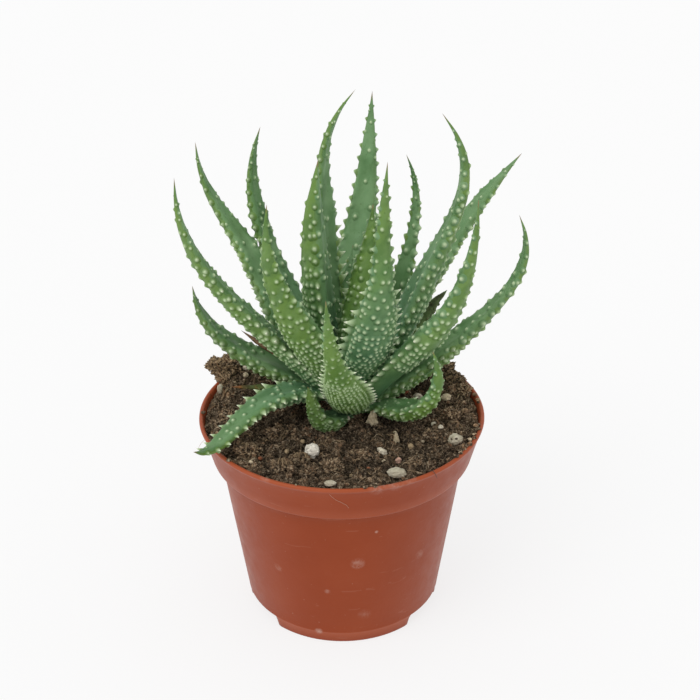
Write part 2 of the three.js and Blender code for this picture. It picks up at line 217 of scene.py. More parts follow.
def add_strand(skin, path, radius, tint, sides=5):
    """A thin closed tube along path, tapering to a point at both ends."""
    along = unit(np.gradient(path, axis=0))
    helper = np.where(np.abs(along[:, 2:3]) > 0.9, [[1.0, 0, 0]], [[0, 0, 1.0]])
    side = unit(np.cross(along, helper))
    up = np.cross(side, along)
    share = np.sin(np.linspace(0.12, 0.88, len(path)) * math.pi) ** 0.5
    a = circle(sides)
    ring = side[:, None] * np.cos(a)[None, :, None] + up[:, None] * np.sin(a)[None, :, None]
    points = path[:, None] + ring * (radius * share)[:, None, None]
    first = skin.count
    skin.add(points, tint, quads=grid_quads(len(path), sides)[:, ::-1])
    skin.cap(path[0], tint, first, sides, False)
    skin.cap(path[-1], tint, first + (len(path) - 1) * sides, sides, True)


# ---------------------------------------------------------------- materials

class Shader:
    """A few short words for making a node material."""

    def __init__(self, name):
        self.material = bpy.data.materials.new(name)
        self.material.use_nodes = True
        self.tree = self.material.node_tree
        self.bsdf = self.tree.nodes["Principled BSDF"]

    def put(self, value, socket):
        """Links an output to the socket, or sets it to a number or a colour."""
        if isinstance(value, bpy.types.NodeSocket):
            self.tree.links.new(value, socket)
        else:
            socket.default_value = (*value, 1.0) if isinstance(value, tuple) else value

    def node(self, kind, **settings):
        made = self.tree.nodes.new(kind)
        for key, value in settings.items():
            if key.startswith("in_"):
                made.inputs[key[3:]].default_value = value
            else:
                setattr(made, key, value)
        return made

    def place(self):
        return self.node("ShaderNodeTexCoord").outputs["Object"]

    def attribute(self, name, output):
        return self.node("ShaderNodeAttribute", attribute_name=name).outputs[output]

    def axis(self, vector, letter):
        parts = self.node("ShaderNodeSeparateXYZ")
        self.put(vector, parts.inputs["Vector"])
        return parts.outputs[letter]

    def noise(self, scale, detail=4.0, roughness=0.55, distortion=0.0, stretch=None, source=None):
        made = self.node("ShaderNodeTexNoise", in_Scale=scale, in_Detail=detail,
                         in_Roughness=roughness, in_Distortion=distortion)
        if source is None:
            source = self.place()
        if stretch:
            mapping = self.node("ShaderNodeMapping", in_Scale=stretch)
            self.put(source, mapping.inputs["Vector"])
            source = mapping.outputs["Vector"]
        self.put(source, made.inputs["Vector"])
        return made.outputs["Fac"]

    def ramp(self, source, *stops):
        made = self.node("ShaderNodeValToRGB")
        elements = made.color_ramp.elements
        while len(elements) < len(stops):
            elements.new(0.5)
        for element, (position, colour) in zip(elements, stops):
            element.position = position
            shade = colour if isinstance(colour, tuple) else (colour,) * 3
            element.color = (*shade, 1.0)
        self.put(source, made.inputs["Fac"])
        return made.outputs["Color"]

    def mix(self, factor, first, second, blend="MIX"):
        made = self.node("ShaderNodeMix", data_type="RGBA", blend_type=blend)
        for value, k in ((factor, 0), (first, 6), (second, 7)):
            self.put(value, made.inputs[k])
        return made.outputs[2]

    def math(self, operation, first, second=0.0):
        made = self.node("ShaderNodeMath", operation=operation, use_clamp=operation != "SUBTRACT")
        self.put(first, made.inputs[0])
        self.put(second, made.inputs[1])
        return made.outputs[0]

    def times(self, first, second):
        return self.math("MULTIPLY", first, second)

    def tint(self):
        attribute = self.node("ShaderNodeAttribute", attribute_name="tint")
        parts = self.node("ShaderNodeSeparateColor")
        self.put(attribute.outputs["Color"], parts.inputs["Color"])
        return (*(parts.outputs[k] for k in ("Red", "Green", "Blue")), attribute.outputs["Alpha"])

    def finish(self, colour, roughness, bump=None, distance=0.1 * MM, **settings):
        settings = {"Base_Color": colour, "Roughness": roughness, **settings}
        for name, value in settings.items():
            self.put(value, self.bsdf.inputs[name.replace("_", " ")])
        if bump is not None:
            made = self.node("ShaderNodeBump", in_Strength=1.0, in_Distance=distance)
            self.put(bump, made.inputs["Height"])
            self.put(made.outputs["Normal"], self.bsdf.inputs["Normal"])
        return self.material


def leaf_material(name, shade=0.0):
    """tint: red runs from base to tip, green is 1 on the inner face, blue is 1 on warts and
    teeth and below 0 on their base-side flanks, where shade is painted, alpha is 1 along the margins. flow
    holds leaf coordinates, the third of them how far up the leaf its bluish bloom reaches. shade darkens it
    all, as painted shade for leaves that lie in shadow."""
    s = Shader(name)
    along, inner, pale, edge = s.tint()
    reach = s.axis(s.attribute("flow", "Vector"), "Z")
    patches = s.noise(110, 3)
    streaks = s.noise(5.0, 3, 0.5, stretch=(1.0, 0.10, 1.0), source=s.attribute("flow", "Vector"))
    blotches = s.noise(2.6, 3, 0.5, stretch=(1.0, 0.45, 9.0), source=s.attribute("flow", "Vector"))
    outer_green = s.ramp(patches, (0.30, (0.092, 0.200, 0.038)), (0.70, (0.170, 0.284, 0.064)))
    # The inner face is bluer, its own colour, and lighter, which is painted light from above.
    inner_green_and_painted_light = s.ramp(patches, (0.30, (0.106, 0.234, 0.086)), (0.70, (0.190, 0.328, 0.150)))
    skin = s.mix(inner, outer_green, inner_green_and_painted_light)
    ahead = s.math("ADD", s.math("SUBTRACT", along, reach), 0.5)
    blue = s.ramp(ahead, (0.25, 1.0), (0.62, 0.0))
    bloom = s.times(s.ramp(blotches, (0.35, 0.60), (0.65, 1.0)), 0.85)
    skin = s.mix(s.times(blue, bloom), skin, (0.104, 0.232, 0.140))
    yellow = s.ramp(ahead, (0.60, 0.0), (0.95, 0.55))
    skin = s.mix(s.times(yellow, s.math("SUBTRACT", 1.0, inner)), skin, (0.132, 0.240, 0.036))
    skin = s.mix(s.times(edge, 0.30), skin, (0.145, 0.245, 0.050))
    skin = s.mix(s.ramp(blotches, (0.44, 0.0), (0.68, 0.52)), skin, (0.036, 0.112, 0.020))
    skin = s.mix(s.ramp(streaks, (0.42, 0.0), (0.74, 0.34)), skin, (0.170, 0.285, 0.125))
    freckles = s.ramp(s.noise(620, 2), (0.66, 0.0), (0.73, 0.45))
    skin = s.mix(freckles, skin, (0.050, 0.120, 0.018))
    flecks = s.ramp(s.noise(1700, 2), (0.66, 0.0), (0.74, 0.22))
    skin = s.mix(flecks, skin, (0.30, 0.40, 0.22))
    # Painted shade: dark green on the base-side flank of each wart, where blue goes below 0.
    skin = s.mix(s.times(pale, -1.0), skin, (0.018, 0.060, 0.012))
    skin = s.mix(s.ramp(pale, (0.02, 0.0), (0.95, 1.0)), skin, (0.50, 0.62, 0.37))
    skin = s.mix(s.ramp(pale, (0.965, 0.0), (1.0, 1.0)), skin, (0.76, 0.80, 0.60))
    skin = s.mix(s.ramp(along, (0.965, 0.0), (0.992, 1.0)), skin, (0.25, 0.15, 0.07))
    # Painted shade: the whole skin darkened for leaves that lie in shadow.
    skin = s.mix(shade, skin, (0.010, 0.016, 0.006))
    rough = s.ramp(s.noise(500, 3), (0.3, 0.42), (0.7, 0.56))
    return s.finish(skin, rough, bump=s.noise(1300, 4), distance=0.06 * MM, Specular_IOR_Level=0.35)


def dry_leaf_material(name, base, middle, end, full=(0.45, 0.85)):
    """A dried leaf's blotched colours at its base, middle and tip. full is how far along the
    last two are full."""
    s = Shader(name)
    along, _, pale, _ = s.tint()
    shade = s.noise(190, 5, 0.65, stretch=(1, 1, 0.5))
    run = s.math("ADD", along, s.times(s.math("SUBTRACT", shade, 0.5), 0.8))
    colour = s.ramp(run, (0.12, base), (full[0], middle), (full[1], end))
    colour = s.mix(s.ramp(shade, (0.32, 0.75), (0.55, 0.0)), colour, (0.030, 0.024, 0.012))
    colour = s.mix(s.ramp(pale, (0.3, 0.0), (0.9, 0.7)), colour, (0.26, 0.21, 0.12))
    return s.finish(colour, 0.72, bump=s.noise(900, 6, 0.7), distance=0.25 * MM,
                    Specular_IOR_Level=0.25)


def pot_material(scuffs_and_highlights):
    """Moulded terracotta-coloured plastic. tint: red marks the rim and the steps, painted paler as wear and
    as painted highlight. scuffs are the place, size and strength of each pale patch: scuffs on the wall,
    wear and painted highlight on the rim."""
    s = Shader("pot_terracotta_plastic")
    colour = s.ramp(s.noise(28, 4), (0.3, (0.246, 0.036, 0.008)), (0.7, (0.284, 0.047, 0.013)))
    dust = s.ramp(s.noise(60, 8, 0.75), (0.55, 0.0), (0.8, 0.18))
    colour = s.mix(dust, colour, (0.35, 0.11, 0.06))
    # The rim and the steps painted paler: partly wear, partly painted highlight.
    colour = s.mix(s.times(s.tint()[0], 0.55), colour, (0.50, 0.13, 0.060))
    specks = s.ramp(s.noise(900, 2, 0.5), (0.73, 0.0), (0.77, 0.28))
    colour = s.mix(specks, colour, (0.45, 0.27, 0.20))
    lines = s.noise(420, 2, 0.4, 1.2, stretch=(0.25, 0.25, 1.4))
    colour = s.mix(s.ramp(lines, (0.70, 0.0), (0.735, 0.14)), colour, (0.45, 0.20, 0.14))
    # Pale patches: scuffs on the wall; on the rim partly wear and dust, partly painted highlight.
    for centre, size, strength in scuffs_and_highlights:
        away = s.node("ShaderNodeVectorMath", operation="DISTANCE")
        s.put(s.place(), away.inputs[0])
        away.inputs[1].default_value = centre
        spot = s.ramp(s.math("DIVIDE", away.outputs["Value"], size), (0.35, 1.0), (1.0, 0.0))
        ragged = s.times(spot, s.ramp(s.noise(700, 5, 0.7), (0.38, 0.0), (0.62, 1.0)))
        colour = s.mix(s.times(ragged, strength), colour, (0.50, 0.30, 0.24))
    rough = s.ramp(s.noise(240, 5, 0.65), (0.3, 0.34), (0.7, 0.48))
    return s.finish(colour, rough, bump=s.noise(700, 4, 0.6), distance=0.035 * MM,
                    Specular_IOR_Level=0.26, Specular_Tint=(1.0, 0.78, 0.55))


def soil_material():
    """Peat. tint: red is the shade of each crumb or fibre, which holds painted shade in the soil's hollows
    as well as its own tone, green mixes in a dry tan. It is drier in patches and towards both sides."""
    s = Shader("peat")
    shade, tan, _, _ = s.tint()
    grain = s.ramp(s.noise(1200, 6, 0.75),
                   (0.38, (0.005, 0.004, 0.003)), (0.47, (0.040, 0.027, 0.015)),
                   (0.55, (0.170, 0.122, 0.078)), (0.66, (0.56, 0.46, 0.33)))
    crumb = s.ramp(shade, (0.0, (0.006, 0.004, 0.003)), (0.35, (0.036, 0.023, 0.013)),
                   (0.62, (0.125, 0.082, 0.048)), (0.74, (0.180, 0.075, 0.032)),
                   (0.86, (0.30, 0.21, 0.125)), (1.0, (0.56, 0.45, 0.31)))
    off_centre = s.times(s.math("ABSOLUTE", s.axis(s.place(), "X")), 20.0)
    sides = s.ramp(off_centre, (0.45, 0.0), (0.80, 0.78))
    dry = s.math("ADD", s.ramp(s.noise(60, 3, 0.6), (0.42, 0.0), (0.62, 0.6)), sides)
    colour = s.mix(dry, s.mix(0.5, grain, crumb), (1.9, 1.9, 1.9), "MULTIPLY")
    colour = s.mix(tan, colour, (0.37, 0.260, 0.150))
    return s.finish(colour, 0.9, bump=s.noise(1700, 5, 0.75), distance=0.35 * MM,
                    Specular_IOR_Level=0.2)


def mineral_material(name, dark, light, pits):
    """A pitted stone. tint: red is how deep a place lies in one of its larger pits."""
    s = Shader(name)
    colour = s.ramp(s.noise(420, 5, 0.65), (0.3, dark), (0.65, light))
    holes = s.ramp(s.noise(1100, 3, 0.6), (0.30, 1.0), (0.40, 0.0))
    colour = s.mix(s.times(holes, pits), colour, (0.06, 0.045, 0.03))
    colour = s.mix(s.ramp(s.tint()[0], (0.04, 0.0), (0.18, 0.9)), colour, (0.075, 0.050, 0.030))
    return s.finish(colour, 0.88, bump=s.noise(1500, 5, 0.7), distance=0.15 * MM)


def small_grain_material():
    """Dusty grains whose tint is their colour."""
    s = Shader("small_grains")
    dirt = s.ramp(s.noise(700, 4, 0.65), (0.36, 0.6), (0.55, 0.0))
    colour = s.mix(dirt, s.attribute("tint", "Color"), (0.10, 0.07, 0.045))
    return s.finish(colour, 0.85, bump=s.noise(1500, 4, 0.7), distance=0.12 * MM)


def wood_material(name, dark, light):
    s = Shader(name)
    grain = s.noise(500, 5, 0.65, 0.6, stretch=(1.0, 0.25, 1.0))
    return s.finish(s.ramp(grain, (0.3, dark), (0.7, light)), 0.85, bump=grain, distance=0.3 * MM)


# ---------------------------------------------------------------- leaves

RINGS = 12                  # stations along each CAD leaf
ROUND_FROM = 0.4            # how far along a CAD leaf its section starts to grow rounder
SIDES = 8                   # points round each CAD ring


def weld(mesh):
    """A mesh's separate places, and which of them its triangles join."""
    corners = np.array([v.co for v in mesh.vertices])
    _, first, which = np.unique(np.round(corners / MM, 3), axis=0, return_index=True,
                                return_inverse=True)
    which = which.ravel()
    links = [set() for _ in first]
    for polygon in mesh.polygons:
        ids = [which[v] for v in polygon.vertices]
        for a in ids:
            links[a].update(b for b in ids if b != a)
    return corners[first], links


def crown_centre():
    """The top of the stem's axis, read from the highest points of its node."""
    points, _ = weld(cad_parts["stem_and_roots"].data)
    height = box_of("stem_and_roots")[1][2]
    top = points[points[:, 2] > height - 6 * MM]
    return np.array([top[:, 0].mean(), top[:, 1].mean(), height])


CROWN = crown_centre()
CROWN_LOW, CROWN_HIGH = CROWN[2] - 7.5 * MM, CROWN[2] + 0.5 * MM    # where leaves leave it
BASE_OUT = 2.5 * MM                                                 # how far off its axis
BASE_DEPTH = 0.6                                                    # of half their width
STEEP_BASES = {"leaf_back_left": 1.1}                               # leaves that rise steeply


class Leaf:
    """One leaf's surface: stations from tip to base, each a centre, a level direction across,
    the way the inner face looks, half the width and the depth of the outer face."""

    def __init__(self, node):
        points, links = weld(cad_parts[node].data)
        poles = [i for i, near in enumerate(links) if len(near) == SIDES]
        tip = max(poles, key=lambda i: np.linalg.norm(points[i] - CROWN))
        rings = self.read_rings(points, links, tip)
        rows = [(points[tip], *rings[0][1:3], 0.0, 0.0), *rings]
        stations = [np.array(column) for column in zip(*rows)]
        if len(rings) < RINGS:
            steep = STEEP_BASES.get(node, 0.0)
            stations = self.extend(*stations, RINGS - len(rings), steep)
        self.centre, self.across, self.inner, self.half, self.depth = stations
        line = spline(self.centre, np.linspace(0, RINGS, 240))
        self.length = np.linalg.norm(np.diff(line, axis=0), axis=1).sum()

    @staticmethod
    def read_rings(points, links, tip):
        """The rings of points met on the way down from the tip, as far as they are whole."""
        rings, seen, level = [], {tip}, [tip]
        while True:
            level = sorted(set().union(*(links[i] for i in level)) - seen)
            if len(level) != SIDES or len(rings) == RINGS:
                break
            seen.update(level)
            ring = points[level]
            gaps = np.linalg.norm(ring[:, None] - ring[None], axis=-1)
            a, b = np.unravel_index(gaps.argmax(), gaps.shape)
            middle, across = (ring[a] + ring[b]) / 2, unit(ring[a] - ring[b])
            off = ring - middle
            off = off - np.outer(off @ across, across)
            deepest = off[np.linalg.norm(off, axis=1).argmax()]
            inner = -unit(deepest)
            up = (rings[-1][0] if rings else points[tip]) - middle
            if np.cross(across, inner) @ up < 0:
                across = -across
            rings.append((middle, across, inner, gaps[a, b] / 2, np.linalg.norm(deepest)))
        if 2 < len(rings) < RINGS:
            rings.pop()
        return rings

    @staticmethod
    def extend(centre, across, inner, half, depth, missing, steep):
        """Carries a leaf whose lower rings were cut away down to the crown."""
        end, heading = centre[-1], centre[-1] - centre[-2]
        out = unit((end - CROWN) * [1, 1, 0])
        reach = np.linalg.norm((end - CROWN)[:2])
        drop = end[2] + heading[2] / max(np.linalg.norm(heading[:2]), 1e-9) * reach
        base = CROWN + out * BASE_OUT
        base[2] = np.clip(drop, CROWN_LOW, CROWN_HIGH)
        span = np.linalg.norm(base - end)
        arrive = unit(base - end - 0.5 * unit(heading) * span - np.array([0, 0, steep * span]))
        f = np.linspace(0, 1, missing + 1)[1:, None]
        a, b = unit(heading) * span, arrive * span
        line = ((2 * f ** 3 - 3 * f ** 2 + 1) * end + (f ** 3 - 2 * f ** 2 + f) * a
                + (-2 * f ** 3 + 3 * f ** 2) * base + (f ** 3 - f ** 2) * b)
        path = np.vstack([centre, line])
        along = unit(path[:-1] - path[1:])[-missing:]
        level = unit(across[-1] * [1, 1, 0])
        more_across = unit(level - (along @ level)[:, None] * along)
        more_inner = np.cross(along, more_across)
        grow, widest = f[:, 0], half.max()
        more_half = half[-1] + (widest - half[-1]) * grow
        more_depth = depth[-1] + (BASE_DEPTH * widest - depth[-1]) * grow
        return (path, np.vstack([across, more_across]), np.vstack([inner, more_inner]),
                np.concatenate([half, more_half]), np.concatenate([depth, more_depth]))

    def surface(self, t, turn):
        """The point at t from base (0) to tip (1) and at turn round the section: 0 and pi are
        the margins, and from 0 to pi is the inner face. The section is the CAD leaf's."""
        t, turn = np.broadcast_arrays(np.asarray(t, float), np.asarray(turn, float))
        x = RINGS * (1 - t)
        centre, across, inner = spline(self.centre, x), spline(self.across, x), spline(self.inner, x)
        half, depth = np.maximum(spline(self.half, x), 0), np.maximum(spline(self.depth, x), 0)
        roundness = np.clip((t - ROUND_FROM) / (1 - ROUND_FROM), 0, 1)
        bulk = depth / (0.85 + 0.12 * roundness)
        s = np.abs(np.sin(turn))
        above = bulk * ((0.49 + 0.41 * roundness) * s - 0.345 * s ** 4)
        v = np.where(np.sin(turn) >= 0, above, -depth * s)
        u = half * np.cos(turn)
        return centre + unit(across) * u[..., None] + unit(inner) * v[..., None]

    def normal(self, t, turn, step=1e-3):
        """The way the surface looks at t and turn, and how the point moves with each."""
        along = (self.surface(np.minimum(t + step, 1), turn)
                 - self.surface(np.maximum(t - step, 0), turn))
        around = self.surface(t, turn + 10 * step) - self.surface(t, turn - 10 * step)
        return unit(np.cross(around, along)), along / (2 * step), around / (20 * step)

    def width(self, t):
        return 2 * spline(self.half, RINGS * (1 - np.asarray(t, float)))


def leaf_flow(leaf, t, turn, reach):
    """Leaf coordinates in centimetres: round the section and along the leaf; then reach."""
    t, turn = np.broadcast_arrays(t, turn)
    round_leaf = turn / math.pi * leaf.width(t) / (10 * MM)
    along_leaf = t * leaf.length / (10 * MM)
    return np.stack([round_leaf.ravel(), along_leaf.ravel(), np.full(t.size, reach)], -1)


BODY_COLUMNS = 40
BODY_STEP = 0.8 * MM
RIDGE_DEPTH = 0.14          # in mm


def add_body(skin, leaf, wrinkle, ridges, reach):
    """The plain skin of the leaf, with slight waves, closed at the base and the tip. ridges
    counts the lengthwise ridges on the outer face near the base."""
    rows = max(24, int(leaf.length / BODY_STEP))
    t = 1 - (1 - np.linspace(0, 1, rows, endpoint=False)) ** 1.15
    tt, aa = np.meshgrid(t, circle(BODY_COLUMNS), indexing="ij")
    flat = leaf.surface(tt, aa).reshape(-1, 3)
    wave = 0.16 * fractal(flat, 150, 3) + 0.06 * fractal(flat, 500, 2)
    if wrinkle:
        wave = wave + wrinkle * fractal(flat, 420, 4)
    if ridges:
        comb = 0.5 - 0.5 * np.cos(2 * ridges * (aa.ravel() - math.pi))
        outside = ease(-np.sin(aa.ravel()), 0.1, 0.4)
        wave = wave + RIDGE_DEPTH * comb * outside * (1 - ease(tt.ravel(), 0.34, 0.50))
    size = np.minimum(1, leaf.width(tt).ravel() / (4 * MM))
    flat = flat + leaf.normal(tt, aa)[0].reshape(-1, 3) * (wave * size * MM)[:, None]
    tint = tints(tt, ease(np.sin(aa), -0.15, 0.25), 0.0, np.abs(np.cos(aa)) ** 6)
    first = skin.count
    quads = grid_quads(rows, BODY_COLUMNS)[:, ::-1]
    skin.add(flat, tint, quads=quads, flow=leaf_flow(leaf, tt, aa, reach))
    top_ring = first + (rows - 1) * BODY_COLUMNS
    skin.cap(leaf.surface([1.0], [0.0]), (1, 0, 0, 1), top_ring, BODY_COLUMNS, False)
    skin.cap(leaf.centre[-1], (0, 0, 0, 0), first, BODY_COLUMNS, True)


# A wart from its skirt inwards: share of its radius, share of its height, paleness.
WART_PROFILE = ((1.28, -0.06, 0.0), (1.04, 0.06, 0.0), (0.80, 0.22, 0.03), (0.60, 0.46, 0.20),
                (0.42, 0.72, 0.55), (0.23, 0.92, 0.88))
WART_TOP = 0.95                                 # paleness of its top
WART_PAINTED_SHADE = (0.6, 0.8, 0.35, 0.0, 0.0, 0.0)      # painted shade on the base-side flank, for each ring of that profile
WART_SIDES = 10
WART_STRETCH = 1.12                             # its length over its width
WART_LEAN = 0.30


def add_warts(skin, leaf, t, turn, radius, height, reach, white=1.0):
    """Blunt cones whose skirts lie in the leaf's own surface. They lean towards the tip.
    white is how pale their tops are."""
    if not len(t):
        return
    normal, along, around = leaf.normal(t, turn)
    ahead = unit(along)
    per_t = np.linalg.norm(along, axis=-1, keepdims=True)
    per_turn = np.linalg.norm(around, axis=-1, keepdims=True)
    compass = circle(WART_SIDES)
    rings = []
    for share, rise, _ in WART_PROFILE:
        dt = (radius * share)[:, None] * np.cos(compass) * WART_STRETCH / per_t
        da = (radius * share)[:, None] * np.sin(compass) / per_turn
        low = leaf.surface(np.clip(t[:, None] + dt, 0, 0.999), turn[:, None] + da)
        lift = (normal * rise + ahead * max(rise, 0) * WART_LEAN) * height[:, None]
        rings.append(low + lift[:, None])
    top = leaf.surface(t, turn) + (normal + ahead * WART_LEAN) * height[:, None]
    levels = len(WART_PROFILE)
    block = np.concatenate([np.stack(rings, 1).reshape(len(t), -1, 3), top[:, None]], 1)
    # Painted shade on the base-side flank of each wart, strongest at its skirt.
    painted_shade = np.outer(WART_PAINTED_SHADE, 0.42 * np.maximum(-np.cos(compass), 0)).ravel()
    pale = np.append(np.repeat([p[2] for p in WART_PROFILE], WART_SIDES) - painted_shade, WART_TOP)
    strength = white * (0.60 + 0.40 * ease(t, 0.05, 0.40))[:, None]
    tint = tints(t[:, None], (np.sin(turn) > 0)[:, None], pale * strength)
    flow = np.repeat(leaf_flow(leaf, t, turn, reach), block.shape[1], axis=0)
    tris = fan(levels * WART_SIDES, (levels - 1) * WART_SIDES, WART_SIDES, True)
    skin.add_copies(block, tint, grid_quads(levels, WART_SIDES)[:, ::-1], tris, flow)


# A tooth from its root outwards: share of its height, half length and half thickness as
# shares of its height, paleness.
TOOTH_PROFILE = ((-0.35, 0.66, 0.42, 0.0), (-0.08, 0.56, 0.36, 0.0), (0.10, 0.44, 0.29, 0.10),
                 (0.28, 0.32, 0.22, 0.45), (0.48, 0.21, 0.16, 0.80), (0.70, 0.12, 0.10, 1.0),
                 (0.88, 0.05, 0.05, 1.0))
TOOTH_SIDES = 10
TOOTH_HOOK = 0.14
TOOTH_RISE = 0.18           # how far teeth turn towards the inner face


def add_teeth(skin, leaf, t, side, height, lean, reach):
    """Flat, pointed teeth along a margin, hooked towards the tip and white at the point."""
    turn = np.where(side > 0, 0.0, math.pi)
    root = leaf.surface(t, turn)
    ahead = unit(leaf.normal(t, turn)[1])
    x = RINGS * (1 - t)
    outward = unit(spline(leaf.across, x)) * side[:, None]
    thick = np.cross(outward, ahead)
    point_way = unit(outward + ahead * lean[:, None] + unit(spline(leaf.inner, x)) * TOOTH_RISE)
    compass = circle(TOOTH_SIDES)
    tall = height[:, None]
    rings = []
    for level, long_share, thin_share, _ in TOOTH_PROFILE:
        centre = root + (point_way * level + ahead * TOOTH_HOOK * max(level, 0) ** 2) * tall
        rings.append(centre[:, None]
                     + ahead[:, None] * (tall * long_share * np.cos(compass))[..., None]
                     + thick[:, None] * (tall * thin_share * np.sin(compass))[..., None])
    top = root + (point_way + ahead * TOOTH_HOOK) * tall
    levels = len(TOOTH_PROFILE)
    block = np.concatenate([np.stack(rings, 1).reshape(len(t), -1, 3), top[:, None]], 1)
    pale = np.append(np.repeat([p[3] for p in TOOTH_PROFILE], TOOTH_SIDES), 1.0)
    tint = tints(np.minimum(t, 0.95)[:, None], 0.0, pale, 1.0)
    flow = np.repeat(leaf_flow(leaf, t, turn, reach), block.shape[1], axis=0)
    quads = grid_quads(levels, TOOTH_SIDES)
    tris = fan(levels * TOOTH_SIDES, (levels - 1) * TOOTH_SIDES, TOOTH_SIDES, False)
    flip = (side > 0)[:, None, None]
    quads, tris = (np.where(flip, faces[:, ::-1], faces) for faces in (quads, tris))
    skin.add_copies(block, tint, quads, tris, flow)


def march(leaf, start, stop, gap):
    """Positions from start to stop along the leaf, gap(t) metres apart."""
    places, t = [], start
    while t < stop:
        places.append(t)
        t += gap(t) / leaf.length
    return places


WARTS_END = 0.955           # how far up the warts and bumps go


def outer_warts(leaf, rng, crowding, bare):
    """Bowed cross rows of warts on the outer face, close at the base and sparse at the tip."""
    places = []
    row_gap = lambda t: (1.70 + 2.3 * ease(t, 0.18, 0.75)) * MM / crowding
    for t in march(leaf, bare, WARTS_END, row_gap):
        gap = (1.38 + 0.80 * ease(t, 0.2, 0.7)) * MM / crowding
        across = max(1, int(1.25 * float(leaf.width(t)) / gap))
        shift, tilt = rng.uniform(0.2, 0.8), rng.normal(0, 0.35)
        for k in range(across):
            if rng.random() < 0.08 + 0.20 * float(ease(t, 0.2, 0.6)):
                continue
            share = np.clip((k + shift) / across + rng.normal(0, 0.13) / across, 0.10, 0.90)
            off = 2 * share - 1
            sag = tilt * off + 1.1 * off ** 2 + rng.normal(0, 0.22)
            places.append((t + sag * MM / leaf.length, math.pi * (1 + share)))
    return np.array(places).T


def inner_warts(leaf, rng, crowding):
    """Scattered warts on the inner face, none near the base."""
    places = []
    for row, t in enumerate(march(leaf, 0.14, WARTS_END, lambda t: 3.0 * MM / crowding)):
        across = max(1, int(float(leaf.width(t)) / (3.6 * MM / crowding)))
        for k in range(across):
            if rng.random() < 0.28:
                continue
            share = (k + 0.25 + 0.5 * (row % 2)) / across + rng.normal(0, 0.2) / across
            slip = rng.normal(0, 0.7) * MM / leaf.length
            places.append((t + slip, math.pi * np.clip(share, 0.12, 0.88)))
    return np.array(places).T


def ridge_warts(leaf, rng, columns, bare):
    """Warts in close files up the lengthwise ridges of a leaf's base."""
    places = []
    for t in march(leaf, bare, 0.48, lambda t: (1.5 + 0.8 * t) * MM):
        for k in range(columns):
            share = (k + 0.5) / columns
            if 0.04 < share < 0.96 and rng.random() > 0.05:
                slip = (0.85 * (k % 2) + rng.normal(0, 0.15)) * MM / leaf.length
                places.append((t + slip, math.pi * (1 + share + rng.normal(0, 0.008))))
    return np.array(places).T


def margin_places(leaf, rng, boldness, teeth_end):
    """Teeth up the margins as far as teeth_end, then blunt bumps that shrink towards the tip."""
    teeth, bumps = [], []
    gap = lambda t: (2.2 + 0.9 * rng.random() + 1.3 * ease(t, 0.08, 0.35)
                     + 0.4 * ease(t, 0.5, 0.8)) * MM
    for side in (1, -1):
        for t in march(leaf, 0.04 + 0.02 * rng.random(), WARTS_END, gap):
            if t < teeth_end + rng.uniform(-0.08, 0.08):
                height = (3.1 - 1.3 * ease(t, 0.30, 0.75)) * boldness * rng.uniform(0.80, 1.10)
                height *= 0.50 + 0.50 * ease(t, 0.0, 0.14)
                teeth.append((t, side, height * MM, rng.uniform(0.0, 0.35)))
            else:
                radius = (1.24 - 0.56 * ease(t, 0.60, 0.96)) * rng.uniform(0.85, 1.12)
                bumps.append((t, 0.0 if side > 0 else math.pi, radius * MM))
    return np.reshape(teeth, (-1, 4)).T, np.reshape(bumps, (-1, 3)).T


# How each leaf differs: wart crowding outside and inside, tooth boldness, how far up the
# teeth end and the warts begin, how far up its bluish bloom reaches, and the number of
# lengthwise ridges at its base.
PLAIN = (1.0, 1.0, 1.0, 0.50, 0.14, 0.30, 0)
LEAF_HABITS = {
    "leaf_front": (1.70, 1.1, 0.9, 0.62, 0.46, 0.0, 14),
    "leaf_front_right": (1.12, 1.0, 1.12, 0.55, 0.08, 0.62, 0),
    "leaf_front_left": (1.12, 1.0, 1.10, 0.50, 0.08, 0.18, 0),
    "leaf_mid_left": (1.10, 1.0, 1.05, 0.50, 0.05, 0.48, 0),
    "leaf_right_front": (1.08, 1.0, 1.05, 0.50, 0.29, 0.42, 0),
    "leaf_hooked": (2.60, 1.3, 0.40, 0.30, 0.02, 0.30, 0),
    "leaf_curl_right": (1.75, 1.4, 0.95, 0.70, 0.22, 0.14, 0),
    "leaf_over_rim": (1.0, 1.30, 1.12, 0.92, 0.20, 0.50, 0),
    "leaf_tall_back": (1.0, 0.95, 0.85, 0.45, 0.15, 0.30, 0),
    "leaf_tall_left": (1.0, 1.1, 1.1, 0.50, 0.15, 0.0, 0),
    "leaf_tall_right": (0.95, 1.25, 1.0, 0.45, 0.26, 0.50, 0),
    "leaf_back_right": (1.0, 1.0, 1.0, 0.45, 0.15, 0.10, 0),
    "leaf_back_left": (1.0, 1.2, 1.0, 0.45, 0.12, 0.45, 0),
    "leaf_left_rear": (1.05, 1.25, 1.0, 0.45, 0.12, 0.36, 0),
    "leaf_left_outer": (1.05, 1.30, 1.20, 0.60, 0.14, 0.32, 0),
    "leaf_left_low": (1.10, 1.30, 0.9, 0.40, 0.14, 0.28, 0),
    "leaf_right_rear": (1.1, 1.0, 0.90, 0.45, 0.10, 0.20, 0),
    "leaf_right_low": (1.0, 1.0, 0.90, 0.45, 0.14, 0.20, 0),
    "leaf_heart_left": (1.25, 1.1, 0.80, 0.50, 0.10, 0.25, 0),
    "leaf_heart_right": (1.30, 1.1, 1.20, 0.62, 0.08, 0.30, 0),
}
